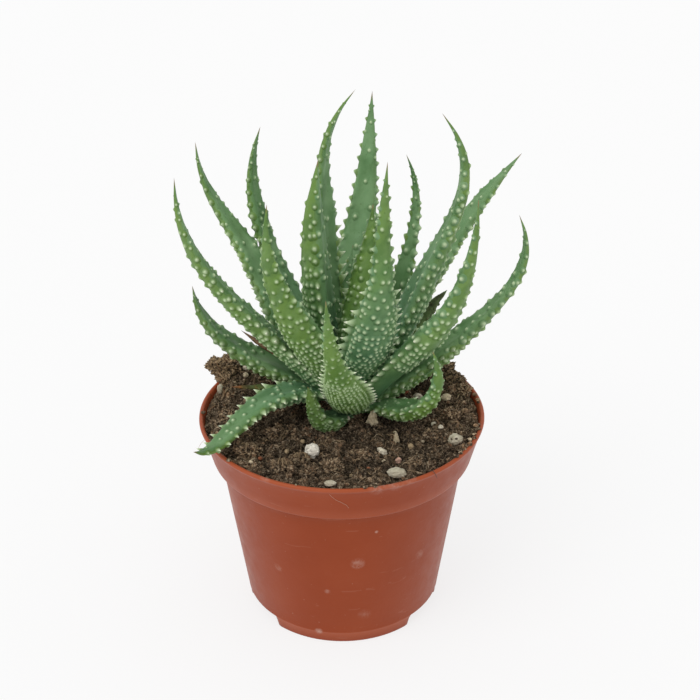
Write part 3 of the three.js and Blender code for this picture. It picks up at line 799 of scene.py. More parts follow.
# Leaves that lie in shadow, with how much painted shade darkens their skin.
PAINTED_SHADE_LEAVES = {"leaf_hooked": 0.30, "leaf_left_low": 0.15}
DRY_COLOURS = {
    "leaf_broken": ((0.32, 0.130, 0.040), (0.150, 0.230, 0.080), (0.130, 0.200, 0.072)),
    "leaf_dried": ((0.10, 0.060, 0.030), (0.13, 0.050, 0.026), (0.24, 0.140, 0.080)),
    "leaf_withered": ((0.085, 0.130, 0.036), (0.100, 0.130, 0.036), (0.30, 0.095, 0.030),
                      (0.82, 1.0)),
}
WART_RADIUS = 1.12 * MM
DRY_SHRINK = 0.6            # the size of a dried leaf's warts against a fresh one's


def make_leaf(node, index, green):
    rng = np.random.default_rng(SEED + index)
    leaf = Leaf(node)
    dry = node in DRY_COLOURS
    outside, inside, boldness, teeth_end, bare, reach, ridges = LEAF_HABITS.get(node, PLAIN)
    skin = Skin()
    add_body(skin, leaf, 0.5 if dry else 0.0, ridges, reach)
    outer = outer_warts(leaf, rng, outside, bare)
    inner = inner_warts(leaf, rng, inside)
    shrink = DRY_SHRINK if dry else 1.0
    white = min(1.0, 1.25 / outside)
    for (t, turn), share in ((outer, 1.0 / outside ** 0.5), (inner, 0.98 / inside ** 0.6)):
        grown = 0.76 + 0.24 * ease(t, 0.10, 0.45) - 0.28 * ease(t, 0.60, 0.95)
        radius = WART_RADIUS * grown * share * rng.uniform(0.80, 1.14, len(t))
        radius = np.minimum(radius, 0.30 * leaf.width(t))
        height = radius * rng.uniform(0.60, 0.76, len(t))
        add_warts(skin, leaf, t, turn, radius * shrink, height * shrink, reach, white)
    if ridges:
        t, turn = ridge_warts(leaf, rng, ridges, 0.03)
        radius = (0.66 + 0.6 * t) * MM * rng.uniform(0.85, 1.1, len(t))
        add_warts(skin, leaf, t, turn, radius, 0.8 * radius, reach, 0.8)
    teeth, bumps = margin_places(leaf, rng, boldness * (0.5 if dry else 1), teeth_end)
    t, side, height, lean = teeth
    height = np.minimum(height, 0.55 * leaf.width(t) + 0.3 * MM)
    add_teeth(skin, leaf, t, side, height, lean, reach)
    t, turn, radius = bumps
    radius = np.minimum(radius, 0.40 * leaf.width(t)) * shrink
    add_warts(skin, leaf, t, turn, radius, 1.05 * radius, reach)
    material = green
    if dry:
        material = dry_leaf_material("skin_" + node, *DRY_COLOURS[node])
    # A darker copy of the leaf skin, as painted shade for leaves that lie in shadow.
    elif node in PAINTED_SHADE_LEAVES:
        material = leaf_material("skin_" + node, PAINTED_SHADE_LEAVES[node])
    skin.build("skin_" + node, material, [node])


# ---------------------------------------------------------------- pot, in mm

RIM, COLLAR, SHOULDER, FOOT, HUB = 45.0, 13.0, 39.0, 31.1, 18.0
WALL = 1.2
CHANNEL = 4.2               # the height of the channel inside the foot ring
TOP = POT_HEIGHT / MM
SHOULDER_Z = TOP - COLLAR
FOOT_GAPS = (210, 330, 90)
FOOT_GAP_HALF = 16.5        # degrees
FOOT_ROWS = 16              # the first rows of the profile, which a gap may lift
COLUMNS = 240
DRAIN_OUT, DRAIN_RADIUS = 23.65, 3.0

# Scuffs, and on the rim pale patches that are partly wear and dust and partly painted highlight: degrees
# round the pot, height where not on the rim, size, strength.
WALL_SCUFFS = (
    (277.5, 34.7, 2.6, 0.5), (256, 4.2, 1.6, 0.8), (235, 28, 1.8, 0.3), (286, 47, 0.7, 0.8),
    (313, 31, 2.2, 0.25), (262, 22.6, 1.3, 0.4), (282, 12, 2.6, 0.2), (100, 30, 2.4, 0.4),
    (40, 22, 1.8, 0.4), (150, 40, 1.5, 0.4),
)
RIM_WEAR_AND_HIGHLIGHTS = ((284, 3.4, 0.45), (291, 3.0, 0.45), (297, 2.4, 0.3), (240, 2.0, 0.3), (70, 3.0, 0.3))


def body_radius(z):
    """The radius of the pot's tapered wall at height z."""
    return FOOT + (SHOULDER - FOOT) * z / SHOULDER_Z


def pot_profile():
    """Radius, height, and wear with painted highlight, down one side of the pot: underneath, up the
    outside, over the rim and down the inside. That third column marks the rim, the shoulder step and the
    crease above the foot."""
    rows = [
        (0.0, 0.0), (HUB * 0.5, 0.0), (HUB - 0.5, 0.0), (HUB, 0.2), (HUB + 1, 3.7),
        (HUB + 1.6, 4), (FOOT - 2.9, 4), (FOOT - 2.5, 3.6), (FOOT - 2.3, 0.4),
        (FOOT - 1.9, 0.0), (FOOT - 0.5, 0.0), (FOOT - 0.1, 0.25), (FOOT + 0.05, 0.7),
        (body_radius(3.55) - 0.12, 3.55, 0.55), (body_radius(3.8) - 0.05, 3.8, 0.55),
        (body_radius(4.1) + 0.04, 4.1, 0.55), (body_radius(4.5), 4.5),
    ]
    rows += [(body_radius(z), z) for z in (8, 14, 22, 30, 38, 46, 51, SHOULDER_Z - 1.3)]
    rows += [
        (body_radius(SHOULDER_Z - 0.8) + 0.15, SHOULDER_Z - 0.75),
        (SHOULDER + 0.6, SHOULDER_Z - 0.35, 0.35), (41.0, SHOULDER_Z - 0.05, 0.35),
        (41.45, SHOULDER_Z + 0.3, 0.35), (41.62, SHOULDER_Z + 0.8, 0.35),
        (42.6, SHOULDER_Z + 4.5), (43.6, SHOULDER_Z + 8.3), (44.3, TOP - 2.0),
        (44.62, TOP - 1.35), (44.9, TOP - 1.0, 0.6), (RIM, TOP - 0.65, 0.6),
        (44.93, TOP - 0.28, 0.6), (44.7, TOP - 0.07, 0.6), (44.4, TOP, 0.6),
        (44.1, TOP - 0.04, 0.6), (43.85, TOP - 0.2, 0.6), (43.65, TOP - 0.55, 0.6),
        (43.3, TOP - 2.2), (41.8, TOP - 8), (40.3, SHOULDER_Z + WALL), (37.8, SHOULDER_Z),
        (body_radius(30) - WALL, 30), (body_radius(5.2) - WALL, 5.2), (HUB, 5.2),
        (HUB - WALL, WALL), (0.0, WALL),
    ]
    return np.array([(*row, 0.0)[:3] for row in rows])


def make_pot():
    """The pot turned as one fine shell. Its foot ring rises to the channel at three gaps."""
    profile = pot_profile()
    degrees = np.linspace(0, 360, COLUMNS, endpoint=False)
    angle = np.radians(degrees)
    gap_share = np.zeros(COLUMNS)
    for middle in FOOT_GAPS:
        away = np.abs((degrees - middle + 180) % 360 - 180)
        gap_share = np.maximum(gap_share, 1 - ease(away, FOOT_GAP_HALF - 1.5, FOOT_GAP_HALF + 2.0))
    r, z, wear_and_highlight = (column[:, None] for column in profile.T)
    in_foot = (r > FOOT - 3.2) & (z < CHANNEL) & (np.arange(len(profile))[:, None] < FOOT_ROWS)
    z = z + np.where(in_foot, CHANNEL - z, 0.0) * gap_share
    wobble = 1 + 0.0012 * np.cos(2 * angle + 0.6) * ease(z, 0.0, TOP)
    r = r * wobble * RIM_RADIUS / RIM
    points = np.stack([r * np.cos(angle), r * np.sin(angle), z * MM], -1)
    tint = tints(wear_and_highlight + 0 * z)
    skin = Skin()
    skin.add(points[1:-1], tint[1:-1], quads=grid_quads(len(profile) - 2, COLUMNS))
    skin.cap(points[0, 0], (0, 0, 0, 0), 0, COLUMNS, True)
    skin.cap(points[-1, 0], (0, 0, 0, 0), (len(profile) - 3) * COLUMNS, COLUMNS, False)
    scuffs_and_highlights = [(on_wall(where, height), size * MM, strength)
              for where, height, size, strength in WALL_SCUFFS]
    scuffs_and_highlights += [(polar(RIM_RADIUS - 0.7 * MM, where, POT_HEIGHT), size * MM, strength)
               for where, size, strength in RIM_WEAR_AND_HIGHLIGHTS]
    pot = skin.build("pot_shell", pot_material(scuffs_and_highlights), ["pot"])
    drill_drains(pot)


def on_wall(degrees, height):
    """A point in metres on the pot's outer wall below the collar."""
    return polar(body_radius(height) * MM, degrees, height * MM)


def drill_drains(pot):
    """A round drain hole in the floor behind each gap in the foot ring."""
    for middle in FOOT_GAPS:
        place = polar(DRAIN_OUT * MM, middle, 4.6 * MM)
        bpy.ops.mesh.primitive_cylinder_add(vertices=40, radius=DRAIN_RADIUS * MM, depth=4 * MM,
                                            location=place)
        drill = bpy.context.object
        cut = pot.modifiers.new("drain", "BOOLEAN")
        cut.operation, cut.object, cut.solver = "DIFFERENCE", drill, "EXACT"
        with bpy.context.temp_override(object=pot, active_object=pot, selected_objects=[pot]):
            bpy.ops.object.modifier_apply(modifier=cut.name)
        bpy.data.objects.remove(drill)


# ---------------------------------------------------------------- soil

SOIL_RADIUS = RIM_RADIUS - 1.75 * MM
SOIL_ROWS, SOIL_COLUMNS = 140, 400


class Ground:
    """The height of the soil's top: the CAD soil's, smoothed over its pits, plus crumbly relief."""

    def __init__(self):
        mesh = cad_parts["soil"].data
        tree = BVHTree.FromPolygons([v.co.copy() for v in mesh.vertices],
                                    [tuple(p.vertices) for p in mesh.polygons])
        self.cells, self.step = 45, 2 * MM
        self.half = (self.cells - 1) / 2
        base = np.full((self.cells, self.cells), np.nan)
        for i, j in np.ndindex(base.shape):
            start = Vector(((i - self.half) * self.step, (j - self.half) * self.step, 0.2))
            place = tree.ray_cast(start, Vector((0, 0, -1)))[0]
            if place is not None and place.z > POT_HEIGHT - 6 * MM:
                base[i, j] = place.z
        typical = np.nanmedian(base)
        base = np.where(np.isnan(base), typical, np.maximum(base, typical - 0.8 * MM))
        for _ in range(2):
            wide = np.pad(base, 1, mode="edge")
            base = sum(wide[a:self.cells + a, b:self.cells + b] for a in range(3) for b in range(3)) / 9
        self.base = base

    def smooth(self, x, y):
        fx, fy = (np.clip(np.asarray(v) / self.step + self.half, 0, self.cells - 1.001) for v in (x, y))
        i, j = fx.astype(int), fy.astype(int)
        u, v = fx - i, fy - j
        b = self.base
        return ((b[i, j] * (1 - u) + b[i + 1, j] * u) * (1 - v)
                + (b[i, j + 1] * (1 - u) + b[i + 1, j + 1] * u) * v)

    def relief(self, x, y):
        flat = np.stack([np.ravel(x), np.ravel(y), np.zeros(np.size(x))], -1)
        rise = (1.3 * fractal(flat, 120, 3) + 2.0 * fractal(flat + 0.3, 290, 4, 0.8)
                + 0.6 * fractal(flat + 0.7, 1000, 3, 0.6))
        return rise.reshape(np.shape(x)) * MM

    def painted_light(self, x, y):
        """How light the soil is painted at x, y: painted shade in its hollows, about 1 on its lumps."""
        return 0.20 + 0.95 * ease(self.relief(x, y), -0.8 * MM, 1.1 * MM)

    def height(self, x, y):
        edge = ease(np.hypot(x, y), SOIL_RADIUS - 3.5 * MM, SOIL_RADIUS)
        return self.smooth(x, y) + self.relief(x, y) * (1 - 0.5 * edge) - 0.5 * MM * edge


def make_soil(ground, material):
    """The body of the soil: its sides below the pot's wall, and its rough top."""
    angle = circle(SOIL_COLUMNS)
    radius = SOIL_RADIUS * np.linspace(1, 0, SOIL_ROWS, endpoint=False)
    rr, aa = np.meshgrid(radius, angle, indexing="ij")
    x, y = rr * np.cos(aa), rr * np.sin(aa)
    top = np.stack([x, y, ground.height(x, y)], -1)
    bottom = box_of("soil")[0][2]
    sides = ((17 * MM, bottom), (17.7 * MM, 5.6 * MM), (30.3 * MM, 5.6 * MM),
             (37.3 * MM, POT_HEIGHT - 13 * MM), (39.6 * MM, POT_HEIGHT - 11.2 * MM))
    wall = np.array([np.stack([r * np.cos(angle), r * np.sin(angle), 0 * angle + z], -1)
                     for r, z in sides])
    points = np.concatenate([wall, top])
    skin = Skin()
    shade = 0.42 + 0.5 * fractal(points.reshape(-1, 3), 600, 3)
    # Painted shade: the top of the soil darkened in its hollows.
    shade[wall.size // 3:] *= ground.painted_light(x, y).ravel()
    skin.add(points, tints(np.clip(shade, 0, 0.9)), quads=grid_quads(len(points), SOIL_COLUMNS))
    middle = float(ground.height(np.zeros(1), np.zeros(1))[0])
    skin.cap((0, 0, bottom), (0.4, 0, 0, 0), 0, SOIL_COLUMNS, True)
    skin.cap((0, 0, middle), (0.4, 0, 0, 0), (len(points) - 1) * SOIL_COLUMNS, SOIL_COLUMNS, False)
    skin.build("soil_bed", material, ["soil"])


def scatter(rng, count, reach):
    r, a = reach * np.sqrt(rng.random(count)), rng.random(count) * 2 * math.pi
    return r * np.cos(a), r * np.sin(a)


def clear_of_grains(x, y, margin):
    """Which of the places x, y lie at least margin off the larger loose grains."""
    keep = np.ones(len(x), bool)
    for node in ("perlite_front", *STONES, *BARK):
        low, high = box_of(node)
        middle, half = (low + high) / 2, (high - low) / 2 + margin
        keep &= np.hypot((x - middle[0]) / half[0], (y - middle[1]) / half[1]) > 1
    return keep


CRUMB_KINDS = 7
LUMP_GRIT = 0.35            # extra roughness of the larger crumbs
DRY_CRUMBS = 0.06           # the share of them that are dry and tan


def make_crumbs(name, ground, material, seed, count, sizes, detail):
    """Loose crumbs of peat, sunk a little into the soil. sizes are in mm."""
    rng = np.random.default_rng(seed)
    shape, faces = ico(detail)
    kinds = []
    for k in range(CRUMB_KINDS):
        far = shape + 10 * k
        bumpy = 1 + 0.42 * fractal(far, 1.7, 3) + LUMP_GRIT * (detail > 1) * fractal(far, 6.0, 3, 0.4)
        kinds.append((shape * bumpy[:, None], 1 + 1.1 * fractal(far, 5.0, 3, 0.5)))
    x, y = scatter(rng, count, SOIL_RADIUS - 1.2 * MM)
    keep = clear_of_grains(x, y, sizes[1] * MM / 2)
    x, y = x[keep], y[keep]
    z, light = ground.height(x, y), ground.painted_light(x, y)
    skin = Skin()
    for i in range(len(x)):
        size = sizes[0] * (sizes[1] / sizes[0]) ** rng.random() * MM / 2
        form, tone = kinds[rng.integers(CRUMB_KINDS)]
        lump = form * np.array([1, rng.uniform(0.55, 1), rng.uniform(0.45, 0.9)]) * size
        lump = turned(rng, lump) + (x[i], y[i], z[i] + size * rng.uniform(0.0, 0.55))
        # Painted shade: crumbs darker where the ground below them lies low.
        shade = light[i] * rng.random() ** 1.1
        dry = 0.35 * (rng.random() < DRY_CRUMBS)
        skin.add(lump, tints(np.clip(shade * tone, 0, 1), dry), tris=faces)
    skin.build(name, material, smooth=False)


FIBRE_STEPS, FIBRE_SIDES = 7, 4


def make_fibres(name, ground, material, seed, count, lengths, radii, tans):
    """Fibres lying on the soil, all made at once. lengths and radii are in mm; tans are the
    three tints they come in."""
    rng = np.random.default_rng(seed)
    x, y = scatter(rng, count, SOIL_RADIUS - 2 * MM)
    length = lengths[0] * (lengths[1] / lengths[0]) ** rng.random(count) * MM
    heading, bend = rng.random(count) * 2 * math.pi, rng.normal(0, 0.8, count)
    f = np.linspace(-0.5, 0.5, FIBRE_STEPS)
    turn = heading[:, None] + bend[:, None] * f
    step = (length / (FIBRE_STEPS - 1))[:, None]
    px = x[:, None] + np.cumsum(np.cos(turn) * step, 1) - (np.cos(heading) * length / 2)[:, None]
    py = y[:, None] + np.cumsum(np.sin(turn) * step, 1) - (np.sin(heading) * length / 2)[:, None]
    inside = np.minimum(1, (SOIL_RADIUS - 0.8 * MM) / np.maximum(np.hypot(px, py), 1e-6))
    px, py = px * inside, py * inside
    ground_z = ground.height(px, py)
    slope = np.minimum(rng.normal(0, 0.30, count) * length, 1.2 * MM)
    lift = (rng.uniform(-0.1, 0.7, count)[:, None] + 0.4 * np.cos(math.pi * f)) * MM
    pz = 0.4 * ground_z + 0.6 * ground_z.mean(1, keepdims=True) + lift + slope[:, None] * f
    path = np.stack([px, py, pz], -1)
    along = unit(np.gradient(path, axis=1))
    side = unit(np.cross(along, [0.0, 0, 1]))
    up = np.cross(side, along)
    taper = np.sin(np.linspace(0.12, 0.88, FIBRE_STEPS) * math.pi) ** 0.5
    radius = rng.uniform(*radii, count)[:, None] * MM * taper
    a = circle(FIBRE_SIDES)[:, None]
    ring = side[:, :, None] * np.cos(a) + up[:, :, None] * np.sin(a)
    block = (path[:, :, None] + ring * radius[..., None, None]).reshape(count, -1, 3)
    block = np.concatenate([block, path[:, :1], path[:, -1:]], 1)
    # Painted shade: fibres darker and less tan in the soil's hollows.
    light = ground.painted_light(x, y)
    shade = (light * rng.random(count) ** 1.1)[:, None]
    tan = (light * rng.choice(tans, count, p=(0.55, 0.30, 0.15)))[:, None]
    tint = tints(shade + np.zeros(block.shape[1]), tan)
    tips = FIBRE_STEPS * FIBRE_SIDES
    ends = np.vstack([fan(tips, 0, FIBRE_SIDES, False),
                      fan(tips + 1, tips - FIBRE_SIDES, FIBRE_SIDES, True)])
    skin = Skin()
    skin.add_copies(block, tint, grid_quads(FIBRE_STEPS, FIBRE_SIDES)[:, ::-1], ends)
    skin.build(name, material)


# Clods in mm: place, half sizes. The first ones make the heap that leans over the rim.
CLODS = (
    ((-38.4, 23.2, 71.2), (4.0, 3.4, 3.0)), ((-41.8, 22.0, 72.2), (2.8, 2.4, 1.9)),
    ((-35.0, 25.4, 70.0), (3.0, 2.8, 2.2)), ((-38.6, 19.6, 68.6), (2.4, 2.4, 2.0)),
    ((-32.0, 27.5, 68.6), (3.0, 2.6, 2.0)), ((-36.8, 24.0, 73.2), (2.2, 2.0, 1.5)),
    ((33.8, 23.0, 68.9), (3.4, 2.8, 2.4)), ((37.0, 18.5, 68.3), (3.0, 3.0, 2.2)),
    ((29.5, 28.0, 68.5), (3.2, 2.8, 2.0)), ((39.6, 12.8, 67.4), (2.0, 2.4, 1.8)),
    ((-17.8, -31.2, 67.2), (3.1, 2.5, 2.4)), ((-12.4, -27.6, 67.2), (2.7, 2.2, 2.2)),
    ((-28.6, -22.8, 67.2), (3.4, 3.1, 2.4)), ((-10.0, -34.0, 66.8), (2.8, 2.2, 1.8)),
    ((-3.0, -31.5, 66.8), (3.2, 3.0, 2.0)), ((4.5, -25.0, 66.6), (3.0, 2.4, 1.8)),
    ((28.0, -14.0, 66.6), (2.8, 2.4, 1.8)), ((22.0, -29.0, 66.6), (2.6, 2.4, 1.6)),
    ((-20.0, -12.0, 66.6), (3.0, 2.4, 1.8)), ((34.0, -2.0, 67.0), (2.8, 2.6, 2.0)),
    ((-36.0, -2.0, 66.8), (2.6, 3.0, 1.8)), ((-10.0, 34.0, 67.2), (3.6, 2.8, 2.2)),
    ((10.0, 36.0, 67.2), (3.2, 2.6, 2.0)), ((-24.0, 30.0, 67.4), (3.2, 3.0, 2.2)),
    ((20.0, 33.0, 67.4), (3.0, 2.8, 2.2)), ((-5.0, 1.5, 68.2), (2.6, 1.8, 1.7)),
)
CLOD_KINDS = 5
HEAP_CLODS = 6
CLOD_STRANDS = 20
CLOD_CRUMBS = 8
MATTED_CLODS = (10, 11, 12)      # clods wrapped in fibres that spread from one point
MAT_STRANDS = 44
MAT_TURN = np.array([[1.0, 0.0, 0.0], [0.0, 0.50, -0.87], [0.0, 0.87, 0.50]])


def make_clods(material, seed):
    """Big fibrous lumps of peat, each rough all over."""
    rng = np.random.default_rng(seed)
    shape, faces = ico(4)
    kinds = []
    for k in range(CLOD_KINDS):
        far = shape + 7 * k
        bumpy = 1 + 0.42 * fractal(far, 1.2, 2) + 0.36 * fractal(far, 3.2, 5, 0.4)
        kinds.append((shape * bumpy[:, None], 0.50 + 1.5 * fractal(far, 4.5, 4, 0.5)))
    clods = [(np.array(place), np.array(half)) for place, half in CLODS]
    skin = Skin()
    for i, (place, half) in enumerate(clods):
        form, shade = kinds[i % CLOD_KINDS]
        lump = turned(rng, form) * half * MM + place * MM
        dryness = rng.uniform(0.80, 1.0) if i < HEAP_CLODS else rng.uniform(0.0, 0.30)
        shade = np.clip(shade + rng.uniform(-0.1, 0.15), 0, 0.95)
        skin.add(lump, tints(shade, dryness * ease(shade, 0.30, 0.85)), tris=faces)
        for _ in range(CLOD_STRANDS):
            centre = place + unit(rng.normal(size=3) * (1, 1, 0.6)) * half * 1.02
            way, f = unit(rng.normal(size=3)), np.linspace(-1, 1, 7)[:, None]
            out = unit(centre - place)
            path = centre + (way - out * (way @ out)) * f * rng.uniform(1.0, 2.6) - out * f ** 2 * 0.8
            add_strand(skin, path * MM, rng.uniform(0.07, 0.2) * MM,
                       (0.9 * rng.random(), rng.choice([0.1, 0.4, 0.9]), 0, 0))
        for _ in range(MAT_STRANDS if i in MATTED_CLODS else 0):
            a = rng.uniform(0, 2 * math.pi)
            tilt = np.linspace(rng.uniform(0.15, 0.8), rng.uniform(1.2, 2.0), 7)[:, None]
            arc = np.sin(tilt) * (math.cos(a), math.sin(a), 0) + np.cos(tilt) * (0, 0, 1)
            path = place + (arc @ MAT_TURN) * half * rng.uniform(1.02, 1.12)
            add_strand(skin, path * MM, rng.uniform(0.10, 0.19) * MM,
                       (0.3 + 0.6 * rng.random(), rng.choice([0.15, 0.55, 0.85]), 0, 0))
    small, small_faces = ico(1)
    for place, half in clods:
        for _ in range(CLOD_CRUMBS):
            out = unit(rng.normal(size=3) * (1, 1, 0.8))
            lump = small * (1 + 0.4 * rng.normal(size=(len(small), 1)))
            lump = turned(rng, lump) * rng.uniform(0.25, 0.75)
            centre = place + out * half * rng.uniform(0.9, 1.12)
            tint = (rng.random(), 0.4 * rng.random(), 0, 0)
            skin.add((lump * (1, 0.8, 0.7) + centre) * MM, tint, tris=small_faces)
    skin.build("soil_clods", material, smooth=False)


# Crumbs on the rim: degrees round the pot, spread in degrees, how many.
SPILLS = ((-24, 9, 30), (149, 5, 14), (25, 12, 18), (240, 60, 8), (80, 80, 10))


def make_spill(material, seed):
    """Crumbs that lie on the rim of the pot."""
    rng = np.random.default_rng(seed)
    shape, faces = ico(2)
    skin = Skin()
    for degrees, spread, count in SPILLS:
        for _ in range(count):
            where = degrees + rng.normal(0, spread)
            size = rng.uniform(0.25, 0.8) * MM
            place = polar(RIM_RADIUS - rng.uniform(0.5, 2.4) * MM, where, POT_HEIGHT + size * 0.25)
            bumpy = shape * (1 + 0.4 * fractal(shape + rng.uniform(0, 50), 1.6, 2))[:, None]
            lump = turned(rng, bumpy) * size * (1, 1, 0.7) + place
            skin.add(lump, (rng.random(), 0, 0, 0), tris=faces)
    skin.build("rim_crumbs", material)


# Small loose grains in mm: place on the soil, half sizes, colour.
WHITE, CREAM, TAN = (0.80, 0.72, 0.56), (0.62, 0.52, 0.35), (0.36, 0.26, 0.15)
PINK, RUST = (0.60, 0.36, 0.27), (0.28, 0.09, 0.035)
SMALL_GRAINS = (
    ((12.2, -22.6), (2.0, 0.85, 0.9), WHITE), ((17.2, -26.9), (1.0, 1.1, 1.2), PINK),
    ((21.1, -20.0), (1.1, 0.9, 0.8), TAN), ((12.7, -28.4), (0.6, 0.6, 0.6), CREAM),
    ((23.1, -24.8), (0.7, 0.6, 0.6), WHITE), ((28.8, -6.4), (0.9, 0.8, 0.8), WHITE),
    ((24.5, 9.1), (1.5, 1.0, 1.0), WHITE), ((20.5, 11.0), (1.1, 0.9, 1.0), RUST),
    ((33.5, 7.0), (1.5, 1.2, 1.2), CREAM), ((30.8, -9.4), (0.7, 0.8, 0.7), WHITE),
    ((24.9, -15.7), (0.6, 0.5, 0.5), CREAM), ((-31.6, 23.7), (1.2, 1.0, 1.1), WHITE),
    ((-31.5, 18.7), (0.9, 0.8, 0.8), CREAM), ((-25.0, 12.0), (0.6, 0.6, 0.6), CREAM),
    ((-16.5, -24.0), (0.9, 0.7, 0.7), TAN), ((-24.5, -25.5), (0.7, 0.6, 0.6), RUST),
    ((-27.0, -29.0), (0.9, 0.5, 0.5), CREAM), ((-12.0, -17.0), (0.8, 0.7, 0.7), TAN),
    ((3.0, -34.0), (0.7, 0.6, 0.6), TAN), ((8.0, -31.0), (0.6, 0.6, 0.6), RUST),
    ((26.5, -10.5), (0.9, 0.8, 0.7), TAN), ((16.5, -12.5), (0.7, 0.6, 0.6), CREAM),
    ((-8.0, 33.0), (1.1, 0.9, 0.9), WHITE), ((12.0, 31.0), (0.9, 0.8, 0.8), CREAM),
    ((-18.0, 27.0), (0.8, 0.7, 0.7), TAN), ((25.0, 25.0), (0.8, 0.8, 0.7), WHITE),
    ((2.0, 37.0), (0.8, 0.6, 0.6), TAN), ((-29.0, -8.0), (0.6, 0.5, 0.5), CREAM),
)
ROD_ANGLE = math.radians(-48)      # how the one long grain lies


def make_small_grains(ground, seed):
    rng = np.random.default_rng(seed)
    shape, faces = ico(3)
    skin = Skin()
    for (x, y), half, colour in SMALL_GRAINS:
        bumpy = shape * (1 + 0.25 * fractal(shape + rng.uniform(0, 50), 1.8, 3))[:, None]
        z = float(ground.height(np.array([x * MM]), np.array([y * MM]))[0]) + 1.1 * half[2] * MM
        angle = rng.uniform(0, math.pi) if half[0] < 1.8 * half[1] else ROD_ANGLE
        c, d = math.cos(angle), math.sin(angle)
        lump = bumpy * np.array(half) * MM @ np.array([[c, d, 0], [-d, c, 0], [0, 0, 1]])
        skin.add(lump + (x * MM, y * MM, z), (*colour, 1), tris=faces)
    skin.build("small_grains", small_grain_material())


def on_collar(degrees, height):
    """A point in mm that lies just off the pot's sloping collar."""
    return polar(41.74 + (height - 55.8) * 0.2465, degrees, height)


# Stray hairs in mm, each its radius and points: one on the collar, one at the tip of the
# leaf that hangs over the rim, and a dark one on the rim.
COLLAR_HAIR = (0.06, [on_collar(*place) for place in (
    (265.2, 66.4), (266.4, 65.0), (268.2, 63.6), (270.2, 62.6), (272.0, 61.4), (272.8, 60.2))])
LEAF_HAIR = (0.05, [(-43.6, -20.5, 66.6), (-43.3, -20.5, 67.6), (-42.6, -20.0, 68.6), (-41.2, -19.5, 69.8)])
RIM_HAIR = (0.10, [(25.6, -35.5, 68.3), (26.8, -35.7, 68.5), (27.6, -36.3, 67.6), (28.2, -36.6, 66.4)])


def make_hairs(name, material_name, colour, hairs, steps):
    skin = Skin()
    for radius, path in hairs:
        fine = spline(path, np.linspace(0, len(path) - 1, steps))
        add_strand(skin, fine * MM, radius * MM, (0, 0, 0, 0))
    skin.build(name, Shader(material_name).finish(colour, 0.6))


# ---------------------------------------------------------------- grains

# Pits in a stone: the way each one faces, its half angle in radians and its depth as a share.
STONE_PITS = {
    "stone_right": (((0.15, -0.75, 0.62), 0.33, 0.30), ((-0.72, -0.55, 0.40), 0.36, 0.22)),
}


def make_grain(node, material, seed, rough, blocky=0.0, taper=0.0, pits=()):
    """A stone, perlite grain or bark piece shaped from noise in its CAD node's box. taper makes
    it narrower towards its top."""
    low, high = box_of(node)
    shape, faces = ico(4)
    offset = np.array([seed * 3.1, seed * 1.7, seed * 0.9])
    if blocky:
        shape = shape / np.abs(shape).max(axis=1, keepdims=True) ** blocky
    bump = (1 + rough * fractal(shape + offset, 1.1, 2)
            + 0.5 * rough * fractal(shape + offset, 3.0, 4, 0.6))
    dent = np.zeros(len(shape))
    for way, half_angle, depth in pits:
        off = np.arccos(np.clip(unit(shape) @ unit(np.array(way)), -1, 1))
        dent = dent + depth * (1 - ease(off, 0.5 * half_angle, half_angle))
    shape = shape * (bump * (1 - dent))[:, None]
    shape[:, :2] *= 1 - taper * shape[:, 2:]
    span_low, span_high = shape.min(0), shape.max(0)
    shape = (shape - span_low) / (span_high - span_low) * (high - low) + low
    skin = Skin()
    skin.add(shape, tints(dent), tris=faces)
    skin.build(node + "_shaped", material, [node])


# ---------------------------------------------------------------- stage

ELEVATION, DISTANCE, ROLL = math.radians(28.6), 433 * MM, math.radians(-0.3)
AIM = Vector((CROWN[0], 0.0, POT_HEIGHT + 21.6 * MM))


def make_camera(scene):
    camera = bpy.data.objects.new("camera", bpy.data.cameras.new("camera"))
    camera.data.lens = 72
    camera.data.sensor_width = 36
    camera.data.clip_start = 0.01
    back = Vector((0, -math.cos(ELEVATION), math.sin(ELEVATION)))
    camera.location = AIM + back * DISTANCE
    level = back.to_track_quat("Z", "Y")
    camera.rotation_euler = (level @ Quaternion((0, 0, 1), ROLL)).to_euler()
    scene.collection.objects.link(camera)
    scene.camera = camera


def make_stage():
    """The camera, an even white sky, one soft sun from the left front and a pale floor."""
    scene = bpy.context.scene
    scene.view_settings.view_transform = "Standard"
    make_camera(scene)
    world = bpy.data.worlds.new("studio")
    world.use_nodes = True
    world.node_tree.nodes["Background"].inputs["Color"].default_value = (1.0, 1.0, 1.0, 1.0)
    world.node_tree.nodes["Background"].inputs["Strength"].default_value = 0.85
    scene.world = world

    lamp = bpy.data.lights.new("key", "SUN")
    lamp.energy = 0.85
    lamp.angle = math.radians(40)
    sun = bpy.data.objects.new("key", lamp)
    azimuth, height = math.radians(225), math.radians(50)
    way = Vector((math.cos(azimuth) * math.cos(height), math.sin(azimuth) * math.cos(height),
                  math.sin(height)))
    sun.rotation_euler = way.to_track_quat("Z", "Y").to_euler()
    scene.collection.objects.link(sun)

    paper = Shader("floor_paper")
    tone = paper.ramp(paper.noise(3.0, 2), (0.0, 0.195), (1.0, 0.205))
    bpy.ops.mesh.primitive_plane_add(size=12, location=(0, 0, -0.02 * MM))
    floor = bpy.context.object
    floor.name = "floor"
    floor.data.materials.append(paper.finish(
        tone, 0.9, Specular_IOR_Level=0.0, Emission_Color=(1.0, 1.0, 1.0), Emission_Strength=0.76))


# ---------------------------------------------------------------- build

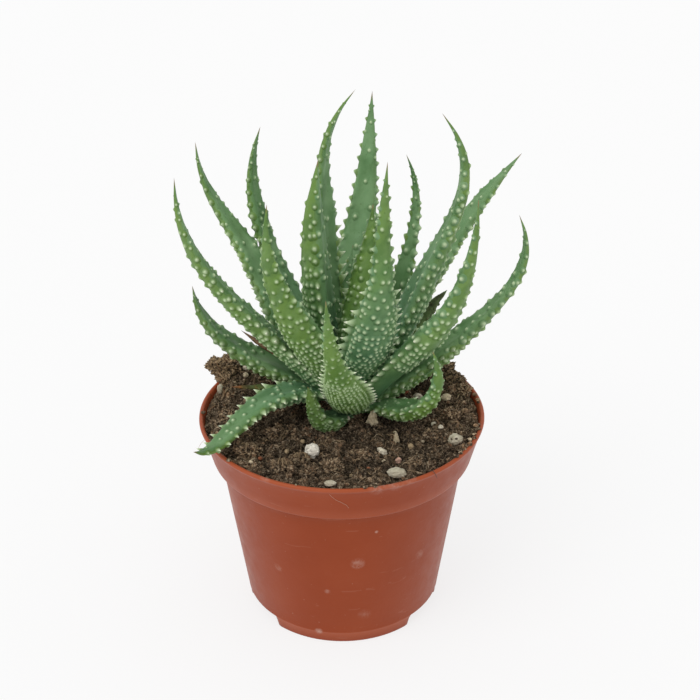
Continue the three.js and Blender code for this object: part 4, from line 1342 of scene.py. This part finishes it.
make_stage()
green = leaf_material("leaf_skin")
leaves = sorted(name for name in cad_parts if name.startswith("leaf_"))
for index, node in enumerate(leaves):
    make_leaf(node, index, green)
make_pot()
ground = Ground()
peat = soil_material()
make_soil(ground, peat)
for name, seed, count, sizes, detail in (
        ("soil_crumbs", 100, 2300, (0.45, 1.6), 1), ("soil_grit", 107, 1500, (0.35, 1.0), 1),
        ("soil_lumps", 101, 300, (1.5, 3.2), 2)):
    make_crumbs(name, ground, peat, SEED + seed, count, sizes, detail)
for name, seed, count, lengths, radii, tans in (
        ("soil_fibres", 102, 2000, (0.9, 4.2), (0.07, 0.20), (0.0, 0.4, 0.9)),
        ("soil_rootlets", 106, 150, (4.0, 11.0), (0.05, 0.10), (0.3, 0.7, 1.0)),
        ("soil_shreds", 108, 170, (2.0, 5.5), (0.20, 0.45), (0.0, 0.25, 0.8))):
    make_fibres(name, ground, peat, SEED + seed, count, lengths, radii, tans)
make_clods(peat, SEED + 103)
make_spill(peat, SEED + 104)
make_small_grains(ground, SEED + 105)
make_hairs("hairs_pale", "hair_pale", (0.46, 0.25, 0.17), (COLLAR_HAIR, LEAF_HAIR), 24)
make_hairs("hair_dark", "hair_dark", (0.06, 0.04, 0.03), (RIM_HAIR,), 16)
perlite = mineral_material("perlite_white", (0.52, 0.46, 0.37), (0.86, 0.81, 0.71), 0.8)
make_grain("perlite_front", perlite, 3, 0.24, 0.35)
pebble = mineral_material("stone_tan", (0.31, 0.27, 0.18), (0.58, 0.53, 0.41), 0.4)
for index, node in enumerate(STONES):
    make_grain(node, pebble, 5 + index, 0.2, pits=STONE_PITS.get(node, ()))
bark = wood_material("bark_tan", (0.25, 0.195, 0.115), (0.74, 0.62, 0.42))
for index, node in enumerate(BARK):
    make_grain(node, bark, 15 + index, 0.55, 0.6, taper=0.4)
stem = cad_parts["stem_and_roots"].data
stem.materials.clear()
stem.materials.append(wood_material("stem_skin", (0.10, 0.08, 0.04), (0.24, 0.19, 0.10)))
